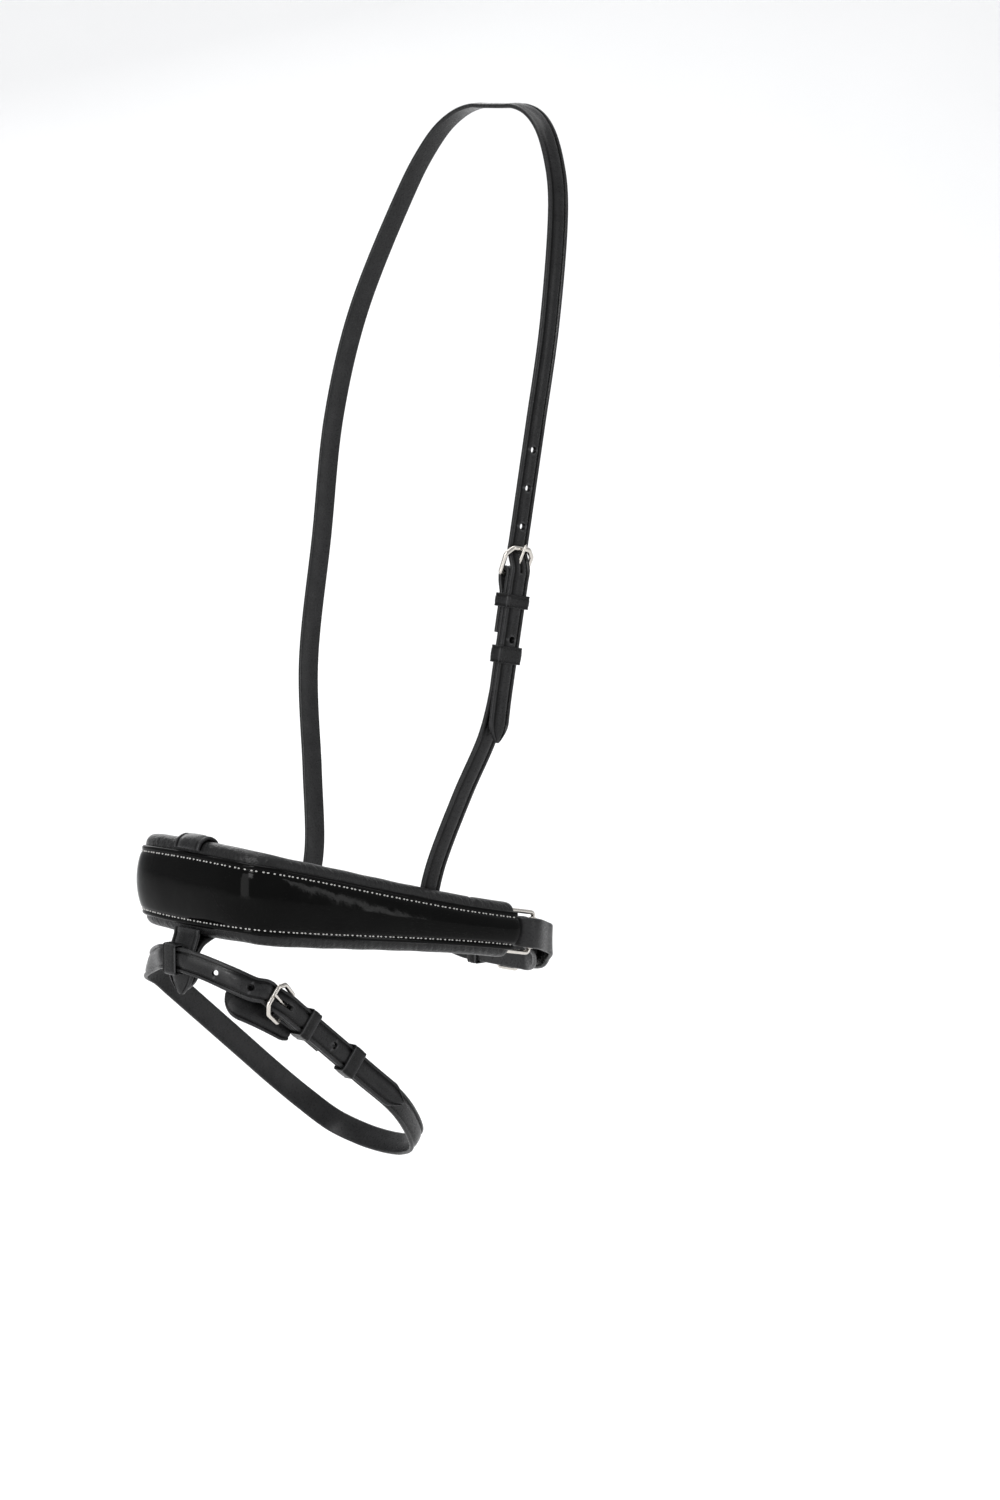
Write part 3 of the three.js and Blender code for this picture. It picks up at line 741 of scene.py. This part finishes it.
def make_facing_stitches():
    """A row of stitches along each edge of the facing, each a little out of line."""
    centres, travels, outs = [], [], []
    clear = 3
    sewn_length = band.length - 2 * clear
    count = round(sewn_length / STITCH_PITCH)
    for sign in (-1, 1):
        for k in range(count + 1):
            far = clear + k * sewn_length / count
            i = band.at_distance(far)
            sewn = band_half(SEWN_HEIGHT, min(far, band.length - far))
            height = sign * sewn
            level = facing_top(sewn, height) + 0.15
            centres.append(band.points[i] + band.across[i] * height + band.out[i] * level)
            travels.append(unit(band.travel[i] + band.across[i] * rng.uniform(-0.08, 0.08)))
            outs.append(band.out[i])
    points, faces = stitch_row(centres, travels, outs)
    make_piece("facing_stitches_v", points, faces, THREAD, "bridle")


def make_lining():
    """The lined pad: two full rolls, puckered by the stitching, closed at the ends."""
    waves = [(rng.uniform(0.9, 2.4), rng.uniform(0, 6.3), rng.uniform(0.5, 1)) for _ in range(7)]
    slow = [(rng.uniform(0.08, 0.3), rng.uniform(0, 6.3)) for _ in range(4)]

    def pucker(far, angle, top):
        a = sum(w * math.sin(f * far + p + 0.7 * angle * (1 if top else -1)) for f, p, w in waves)
        b = sum(math.sin(f * far + p + (2 if top else 0)) for f, p in slow)
        near_seam = math.exp(-(((angle - 65) / 34) ** 2))
        return 0.085 * a * near_seam + 0.06 * b

    def section(start, end):
        edge = min(start, end)
        outer = band_half(BAND_HEIGHT, edge)
        sewn = band_half(SEWN_HEIGHT, edge)
        close = 1 - 0.5 * math.exp(-edge / 1.4)
        notch = 0.9 * math.exp(-(((start - 31) / 1.0) ** 2))
        points = []
        for sign in (1, -1):
            arc = []
            for k in range(19):
                angle = -90 + 10 * k
                r = ROLL * (0.3 + 0.7 * close) - 0.25
                r += pucker(start, angle, sign > 0) * (0.3 + 0.7 * close)
                if sign > 0:
                    r -= notch
                a = math.radians(angle)
                height = outer - ROLL + r * math.cos(a)
                level = -ROLL + r * math.sin(a)
                arc.append([sign * height, level])
            face = []
            lip = sewn + FACING_MARGIN - 2
            for k in range(1, 4):
                face.append([sign * (outer - ROLL + (lip - outer + ROLL) * k / 3), -0.15 - 0.25 * k / 3])
            run = arc + face
            points += run if sign > 0 else run[::-1]
        inner = []
        for k in range(1, 12):
            t = k / 12
            h = (outer - ROLL) * (2 * t - 1)
            swell = 0.5 * math.sin(math.pi * t) ** 0.5
            inner.append([h, -PAD_DEPTH + 0.25 + (1 - close) * 2 - swell * 0.5])
        return points + inner

    points, faces = skin(band.rings(section))
    piece = make_piece("lining_v", points, faces, SOFT, "bridle", ["noseband_lining"], 60)


# ---- rings ----
def ring_place(sign):
    """The axes of the ring at one end of the band, -1 for the near side."""
    travel = unit(near_plan[0] - near_plan[1])
    along = vec(travel[0], -sign * travel[1], travel[2])
    out = unit(vec(travel[1], sign * travel[0], 0))
    origin = vec(near_plan[0][0], -sign * near_plan[0][1], near_plan[0][2])
    tab_reach = RING_WIRE + GAP + TAB_THICK
    sink = max(GAP + tab_reach, ROLL - 1.7)
    return Place(origin - along - out * sink, along, out)


def make_ring(side, place):
    """A rectangular wire ring, and the thin roller on its rear bar."""
    high = RING_HEIGHT / 2
    corners = [[0, -high], [RING_LENGTH, -high], [RING_LENGTH, high], [0, high]]
    outline = resample_loop(rounded(corners, 2.4), 0.5)
    points, faces = skin(loop_rings(outline, round_section(RING_WIRE, 0.95)), closed=True)
    make_piece(f"ring_{side}_v", place.all(points), faces, STEEL, f"ring_{side}", [f"ring_{side}"], 60)
    length = 2 * (high - 2.2) - 2 * GAP
    inner = RING_WIRE + GAP
    outer = inner + 0.9
    half = [[0.5, inner], [0.5, outer - 0.3], [0.47, outer]]
    profile = [[-y * length, r] for y, r in half] + [[y * length, r] for y, r in reversed(half)]
    rings = []
    for k in range(36):
        a = 2 * math.pi * k / 36
        rings.append([[RING_LENGTH + r * math.cos(a), y, r * math.sin(a)] for y, r in profile])
    points, faces = skin(rings, closed=True)
    roller_node = f"ring_roller_{side}"
    make_piece(f"{roller_node}_v", place.all(points), faces, STEEL, f"roller_{side}", [roller_node], 35)


def make_tab(side, place):
    """The leather tab that holds a ring in the end of the band."""
    level = RING_WIRE + GAP + TAB_THICK / 2
    route = [
        place.at(-12, level),
        place.at(-4, level),
        *half_turn(place, level),
        place.at(-4, -level),
        place.at(-12, -level),
    ]
    run = Run(route, lambda p: -place.y, 0.6)
    points, faces = skin(strap_rings(run, STRAP_WIDTH, TAB_THICK))
    make_piece(f"ring_tab_{side}_v", points, faces, LEATHER, "bridle", [f"ring_tab_{side}"])


# ---- cheek strap and sliphead ----
CHEEK_UP = unit(vec(0.165, -0.03, 0.986))
CHEEK_BAR = vec(BAND_REACH * 0.9 + 1.3, -JAW_HALF - 16.3, POLL_HEIGHT * 0.396)
cheek_place = Place(CHEEK_BAR, CHEEK_UP, vec(0, -1, 0))


def cheek_wide(p):
    """The width's direction: square to the cheek strap low down, level over the poll."""
    level = smoothstep(p[2], POLL_HEIGHT * 0.65, POLL_HEIGHT * 0.85)
    return vec(CHEEK_UP[2], 0, -CHEEK_UP[0]) * (1 - level) + vec(1, 0, 0) * level


inside_band = JAW_HALF * 1.022 - PAD_DEPTH - GAP - STRAP_THICK / 2 - 1
cheek_foot = [
    vec(BAND_REACH - 54, -inside_band, -33),
    vec(BAND_REACH - 50, -inside_band, -15),
    vec(BAND_REACH - 45.5, -inside_band - 1.5, 4),
    vec(BAND_REACH - 37, -JAW_HALF - 1, 42),
]


def make_cheek_strap():
    """The near cheek strap, from inside the band up to its fold round the buckle's bar."""
    place = cheek_place
    route = [
        *cheek_foot,
        place.at(-84, FOLD - 3.2),
        *(place.at(x, FOLD) for x in (-62, -52, -10, -3)),
        *half_turn(place, FOLD),
        place.at(-4, -FOLD + 0.5),
        *(place.at(x, FOLD - LAYER) for x in (-11, -16, -31)),
    ]
    run = Run(route, cheek_wide)
    points, faces = skin(strap_rings(run, STRAP_WIDTH, STRAP_THICK))
    piece = make_piece("cheek_strap_v", points, faces, LEATHER, "bridle", ["cheek_strap_near"])
    fold_slot(piece, place)
    sew("cheek_strap_stitches_v", run, STRAP_WIDTH, (run.length - 19, run.length - 1.5), "bridle")


def sew(name, run, width, span, body, face=1):
    """Two rows of stitches along a strap's edges, between two distances along it."""
    centres, travels, outs = [], [], []
    inset = width / 2 - 1.5
    count = round((span[1] - span[0]) / STITCH_PITCH)
    for edge in (-inset, inset):
        for k in range(count + 1):
            i = run.at_distance(span[0] + k * STITCH_PITCH)
            out = run.out[i] * face
            centres.append(run.points[i] + run.across[i] * edge + out * STRAP_THICK / 2)
            travels.append(run.travel[i])
            outs.append(out)
    points, faces = stitch_row(centres, travels, outs, 1.5, 0.28)
    make_piece(name, points, faces, THREAD, body)


def fold_slot(piece, place):
    """The slot for a tongue's eye in the strap folded round the bar."""
    eye = WIRE + GAP + 1.5 * TONGUE + GAP
    half = 1.2 * TONGUE + GAP
    reach = FOLD + STRAP_THICK
    box_cut(piece, place, (-eye, reach), (-half, half), (-reach, reach))


def box_cut(piece, place, xs, ys, zs):
    """Cuts a box with rounded corners, between two values on each axis of a place."""
    outline = rounded([[xs[0], ys[0]], [xs[1], ys[0]], [xs[1], ys[1]], [xs[0], ys[1]]], 0.9, 4)
    rings = [[place.at(x, z, y) for x, y in outline] for z in zs]
    subtract(piece, *skin(rings))


TIP_LIFT = 1


def billet_route(place, tip, beyond):
    """A strap's pointed end: over the layers, then down through its buckle's frame."""
    return [
        place.at(tip, OVER + TIP_LIFT),
        place.at(tip + 4, OVER + TIP_LIFT * 0.9),
        place.at(tip + 9, OVER + TIP_LIFT * 0.7),
        place.at(tip + 22, OVER + TIP_LIFT * 0.1),
        *(place.at(x, OVER) for x in (-55, -14, -3)),
        place.at(0.22 * BUCKLE_REACH, OVER),
        place.at(0.9 * BUCKLE_REACH, UNDER),
        place.at(1.25 * BUCKLE_REACH, UNDER),
        *(place.at(x, UNDER) for x in beyond),
    ]


def billet_slot(piece, place):
    """The slot a tongue goes down through."""
    half = TONGUE + GAP
    along = (0.06 * BUCKLE_REACH, 0.78 * BUCKLE_REACH)
    box_cut(piece, place, along, (-half, half), (-2 * LAYER, 3 * LAYER))


def make_sliphead():
    """One strap from the near buckle over the poll and down inside the band's off side."""
    place = cheek_place

    def crown(part, fall, back):
        return vec(POLL_REACH - back, -JAW_HALF * part, POLL_HEIGHT - fall)

    climb = [
        crown(1.28, 111.4, 33.2),
        crown(1.02, 48, 13),
        crown(0.86, 27, 7.5),
        crown(0.67, 11.5, 3.5),
        crown(0.47, 3.2, 1),
        crown(0.28, 0, 0),
        crown(0.13, 0, 0),
    ]
    route = [
        *billet_route(place, -88, [25, 70, 80]),
        *climb,
        *(mirrored(p) for p in reversed(climb)),
        *(mirrored(place.at(x, FOLD)) for x in (75, 10, -60)),
        *(mirrored(p) for p in reversed(cheek_foot)),
    ]
    run = Run(route, cheek_wide)
    points, faces = skin(strap_rings(run, STRAP_WIDTH, STRAP_THICK, (11, 0)))
    piece = make_piece("sliphead_v", points, faces, LEATHER, "bridle", ["sliphead"])
    billet_slot(piece, place)
    first = run.far[run.nearest(place.at(TONGUE_HOLE, TONGUE_LEVEL))]
    cut_holes(piece, run, [run.at_distance(first + k * HOLE_PITCH) for k in (-2, -1, 1, 2, 3)])


# ---- flash strap ----
FLASH_DOWN = unit(vec(0.775, -0.03, -0.63))
flash_place = Place(vec(26, 6 - NOSE_HALF, -60), -FLASH_DOWN, vec(0, -1, 0))
flash_front = vec(-10.4, 0, -35.5)


def flash_wide(p):
    """The width's direction: upright over the nose, square to the strap along its sides."""
    lean = smoothstep(p[0], -8, 14)
    return -vec(-FLASH_DOWN[2] * lean, 0, 1 - lean + FLASH_DOWN[0] * lean)


def make_flash_strap():
    """The whole loop from its fold, round the chin and over the nose to its pointed end."""
    place = flash_place
    nose_turn = [
        vec(-6.2, NOSE_HALF * 0.367, -38),
        vec(1, NOSE_HALF * 0.656, -43.5),
        vec(8, NOSE_HALF * 0.82, -48),
    ]
    chin_turn = [
        vec(113, NOSE_HALF * 0.85, -132),
        vec(125, NOSE_HALF * 0.656, -144),
        vec(131.5, NOSE_HALF * 0.348, -150),
        vec(133, NOSE_HALF * 0.116, -151.5),
    ]
    route = [
        *(place.at(x, FOLD - LAYER) for x in (-31, -16, -11)),
        place.at(-4, -FOLD + 0.5),
        *reversed(half_turn(place, FOLD)),
        *(place.at(x, FOLD) for x in (-3, -10, -60, -90)),
        *(mirrored(p) for p in chin_turn),
        *reversed(chin_turn),
        *(mirrored(place.at(x, 0)) for x in (-90, -60, 0, 12)),
        *reversed(nose_turn),
        *(vec(flash_front[0], y, flash_front[2]) for y in (9, 4, -4, -9)),
        *(mirrored(p) for p in nose_turn),
        *reversed(billet_route(place, -92, [])),
    ]
    run = Run(route, flash_wide)
    points, faces = skin(strap_rings(run, STRAP_WIDTH, STRAP_THICK, (0, 11)))
    piece = make_piece("flash_strap_v", points, faces, LEATHER, "flash", ["flash_strap"])
    sew("flash_strap_stitches_v", run, STRAP_WIDTH, (1.5, 19), "flash")
    fold_slot(piece, place)
    billet_slot(piece, place)
    first = run.far[run.nearest(place.at(TONGUE_HOLE, TONGUE_LEVEL))]
    cut_holes(piece, run, [run.at_distance(first + k * HOLE_PITCH) for k in (-2, -1, 1, 2)])


def make_guard():
    """The round-ended flap that keeps the flash buckle off the skin."""
    thick = 1.8
    width = 23
    level = -FOLD - STRAP_THICK / 2 - GAP - thick / 2
    place = flash_place
    route = [
        place.at(-13, level, 1),
        place.at(-4, level, 2.5),
        place.at(9, level - 0.8, 5),
        place.at(19, level - 4, 7),
        place.at(27, level - 10, 8.5),
    ]
    run = Run(route, lambda p: -flash_wide(p), 0.6)
    full = np.array(strap_section(width, thick, 0.4, 2, 0))

    def section(start, end):
        into = min(1, 2 * min(end, start + width / 4) / width)
        return full * [max(0.12, math.sqrt(into * (2 - into))), 1]

    points, faces = skin(run.rings(section))
    make_piece("flash_guard_v", points, faces, LEATHER, "flash", ["flash_guard"])


# ---- hanger ----
def make_hanger():
    """The tail wrapped round the pad, the shorter front tail and the flash strap's loop."""
    radius = ROLL + GAP + HANGER_THICK / 2
    roll_height = BAND_HEIGHT[0] / 2 - ROLL
    room = STRAP_THICK / 2 + 0.6
    loop_back = flash_front[0] + room + GAP + KEEPER_WALL
    tail_front = loop_back + 0.7 + HANGER_THICK / 2
    tail_rear = tail_front + HANGER_THICK + GAP + 0.8
    tail_end = BAND_HEIGHT[0] / 2 + 29.5

    def round_roll(end, angles):
        points = []
        for a in map(math.radians, angles):
            points.append(vec(ROLL - radius * math.cos(a), 0, end * (roll_height + radius * math.sin(a))))
        return points

    def hung(x, z):
        return vec(x, 0, -z)

    rear = [
        *round_roll(1, [9, 45, 90, 135, 180]),
        vec(ROLL + radius, 0, 0),
        *round_roll(-1, [180, 135, 95]),
        hung(1.4, roll_height + 9.4),
        hung(tail_rear + 0.4, roll_height + 14),
        hung(tail_rear, roll_height + 19),
        hung(tail_rear, tail_end - 7),
        hung(tail_rear, tail_end - 2),
    ]
    front = [
        *round_roll(-1, [9]),
        hung(-1.5, roll_height + 4.6),
        hung(-3.4, roll_height + 9.6),
        hung(tail_front - 0.1, roll_height + 14.8),
        hung(tail_front, roll_height + 20),
        hung(tail_front, tail_end - 6),
        hung(tail_front, tail_end),
    ]
    for name, route, tip, left in (("rear", rear, 9, -1), ("front", front, 12, 1)):
        run = Run(route, lambda p: vec(0, left, 0), 0.6)
        points, faces = skin(strap_rings(run, HANGER_WIDTH, HANGER_THICK, (0, tip), 0.16))
        make_piece(f"hanger_{name}_v", points, faces, LEATHER, "bridle", [f"flash_hanger_{name}"])
    place = Place(flash_front, vec(0, -1, 0), vec(-1, 0, 0))
    keeper("flash_hanger_loop", place, 0, 10, STRAP_WIDTH + 0.4, -room, room, "bridle")


# ---- crank strap ----
JAW_REACH = BAND_REACH + RING_LENGTH + 24
JAW_DROP = 57
RING_TURN = 5.4
TURN_X = RING_LENGTH * 0.7
crank_place = Place(vec(JAW_REACH + FOLD + LAYER, 4, -JAW_DROP), vec(0, -1, 0), vec(1, 0, 0))


def upright(_):
    return vec(0, 0, 1)


def make_crank_strap(near):
    """One strap: sewn round the off ring, round the jaw, through the near ring, back to its buckle."""
    def jaw(before, part, above):
        return vec(JAW_REACH - before, -JAW_HALF * part, above - JAW_DROP)

    jaw_bend = [jaw(16, 0.775, 14), jaw(8.5, 0.658, 8), jaw(3, 0.525, 2.5)]
    jaw_outer = [jaw(14.5, 0.917, 16), jaw(7, 0.842, 13), jaw(1.5, 0.683, 7.5), jaw(-1.5, 0.558, 2.5)]
    sewn_end = [jaw(6.3, 0.695, 8), jaw(11.5, 0.825, 13.5)]
    jaw_flat = [vec(JAW_REACH, -24, -JAW_DROP), vec(JAW_REACH, -20, -JAW_DROP)]
    into_ring = [near.at(TURN_X, -RING_TURN), near.at(RING_LENGTH, 0.2 - RING_TURN)]
    out_of_ring = [near.at(TURN_X, RING_TURN), near.at(RING_LENGTH, RING_TURN - 0.2)]
    quarter = []
    for k in (1, 0, -1):
        a = k * math.pi / 4
        quarter.append(near.at(TURN_X - RING_TURN * math.cos(a), RING_TURN * math.sin(a)))
    place = crank_place
    off_side = [
        *sewn_end,
        *reversed(out_of_ring),
        *quarter,
        *into_ring,
        *jaw_bend,
        *jaw_flat,
    ]
    route = [
        *(mirrored(p) for p in off_side),
        *reversed(jaw_flat),
        *reversed(jaw_bend),
        *reversed(into_ring),
        *reversed(quarter),
        *out_of_ring,
        *jaw_outer,
        place.at(1.7 * BUCKLE_REACH, UNDER - 0.8),
        place.at(1.25 * BUCKLE_REACH, UNDER),
        place.at(0.9 * BUCKLE_REACH, UNDER),
        place.at(0.22 * BUCKLE_REACH, OVER),
        place.at(-3, OVER),
        place.at(-10, 2 * LAYER - FOLD),
        place.at(-18, 2 * LAYER - FOLD),
        place.at(-24, LAYER),
        *(mirrored(p) for p in reversed(jaw_outer[2:])),
    ]
    run = Run(route, upright, 0.8)
    points, faces = skin(strap_rings(run, CRANK_WIDTH, STRAP_THICK, (0, 12)))
    piece = make_piece("crank_strap_v", points, faces, LEATHER, "bridle", ["crank_strap"])
    sew("crank_strap_stitches_v", run, CRANK_WIDTH, (1.5, 12), "bridle", face=-1)
    billet_slot(piece, place)


def make_crank_chape():
    """The short fold that holds the crank buckle."""
    place = crank_place
    route = [
        place.at(-17, -FOLD),
        place.at(-3, -FOLD),
        *reversed(half_turn(place, FOLD)),
        place.at(-4, FOLD - 0.5),
        place.at(-10, LAYER - FOLD),
        place.at(-17, LAYER - FOLD),
    ]
    run = Run(route, lambda p: -upright(p), 0.6)
    points, faces = skin(strap_rings(run, CRANK_WIDTH, STRAP_THICK))
    piece = make_piece("crank_chape_v", points, faces, LEATHER, "bridle", ["crank_chape"])
    fold_slot(piece, place)
    sew("crank_chape_stitches_v", run, CRANK_WIDTH, (1.5, 12), "bridle")


# ---- build ----
make_facing()
make_facing_stitches()
make_lining()
near_ring = ring_place(-1)
for side_name, side_place in (("near", near_ring), ("off", ring_place(1))):
    make_ring(side_name, side_place)
    make_tab(side_name, side_place)

over_top = OVER + STRAP_THICK / 2
chape_low = FOLD - LAYER - STRAP_THICK / 2
strap_low = FOLD - STRAP_THICK / 2
make_cheek_strap()
make_sliphead()
buckle("cheek", cheek_place, STRAP_WIDTH, "cheek_frame", "cheek_tongue")
keeper("cheek_keeper", cheek_place, -14, KEEPER_LENGTH, STRAP_WIDTH, chape_low, over_top, "bridle")
keeper("cheek_runner", cheek_place, -42, RUNNER_LENGTH, STRAP_WIDTH, strap_low, over_top, "cheek_loop")

make_flash_strap()
make_guard()
buckle("flash", flash_place, STRAP_WIDTH, "flash_frame", "flash_tongue")
keeper("flash_keeper", flash_place, -14, KEEPER_LENGTH, STRAP_WIDTH, chape_low, over_top, "flash")
keeper("flash_runner", flash_place, -50, RUNNER_LENGTH, STRAP_WIDTH, strap_low, over_top, "flash_loop")
make_hanger()

make_crank_strap(near_ring)
make_crank_chape()
buckle("crank", crank_place, CRANK_WIDTH, "crank_frame", "crank_tongue")
crank_low = -FOLD - LAYER - STRAP_THICK / 2
crank_high = 2 * LAYER - FOLD + STRAP_THICK / 2
keeper("crank_keeper", crank_place, -14, KEEPER_LENGTH, CRANK_WIDTH, crank_low, crank_high, "bridle")

for node, look in (
    ("noseband_filler", PADDING),
    ("noseband_pad", PADDING),
    ("noseband_backing", LEATHER),
):
    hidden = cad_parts[node]
    hidden.data.materials.clear()
    hidden.data.materials.append(look)


# ---- studio ----
def stage_material():
    n = Nodes("pale floor")
    n.tint(n.noise(3, 2), (0.86, 0.86, 0.86), (0.9, 0.9, 0.9))
    n.set(Roughness=0.9, Specular_IOR_Level=0.1)
    return n.material


def make_floor():
    """A pale floor, flat towards the camera and curved up into a backdrop behind the object."""
    low = cad_box[0][2] - 0.06
    reach = 2.2
    bend = 1.6
    top = 4
    profile = [(-5 * reach, 0), (0, 0), (reach, 0)]
    steps = 16
    for k in range(1, steps + 1):
        a = math.pi / 2 * k / steps
        profile.append((reach + bend * math.sin(a), bend * (1 - math.cos(a))))
    profile.append((reach + bend, top))
    half_width = 9
    points = []
    for far, height in profile:
        for side in (-half_width, half_width):
            x = side * right[0] - far * away[0]
            y = side * right[1] - far * away[1]
            points.append((x, y, low + height))
    faces = [(2 * i, 2 * i + 1, 2 * i + 3, 2 * i + 2) for i in range(len(profile) - 1)]
    mesh = bpy.data.meshes.new("floor")
    mesh.from_pydata(points, [], faces)
    mesh.shade_smooth()
    mesh.materials.append(stage_material())
    floor = bpy.data.objects.new("floor", mesh)
    bpy.context.scene.collection.objects.link(floor)
    return floor


def area_light(name, place, target, size, power):
    light = bpy.data.lights.new(name, "AREA")
    light.shape = "RECTANGLE"
    light.size, light.size_y = size
    light.energy = power
    holder = bpy.data.objects.new(name, light)
    bpy.context.scene.collection.objects.link(holder)
    holder.location = place
    holder.rotation_euler = (Vector(target) - Vector(place)).to_track_quat("-Z", "Y").to_euler()


def make_world():
    world = bpy.data.worlds.new("studio")
    world.use_nodes = True
    background = world.node_tree.nodes["Background"]
    background.inputs["Color"].default_value = (0.95, 0.96, 0.98, 1)
    background.inputs["Strength"].default_value = 0.6
    bpy.context.scene.world = world


centre = tuple((low + high) / 2 for low, high in zip(*cad_box))
floor = make_floor()
area_light("key", (-2.6, -1.2, 1.5), centre, (0.6, 1.4), 46)
area_light("side", (1.5, -2.6, 0.3), centre, (0.25, 2.0), 10)
area_light("strip", (-2.7, -0.5, -0.1), centre, (0.9, 2.6), 32)
area_light("back", (1.2, 2.6, 1.2), centre, (1.8, 1.8), 22)
area_light("top", (0.4, 0.4, 2.6), centre, (2.4, 2.4), 60)
make_world()
bpy.context.scene.view_settings.view_transform = "Standard"
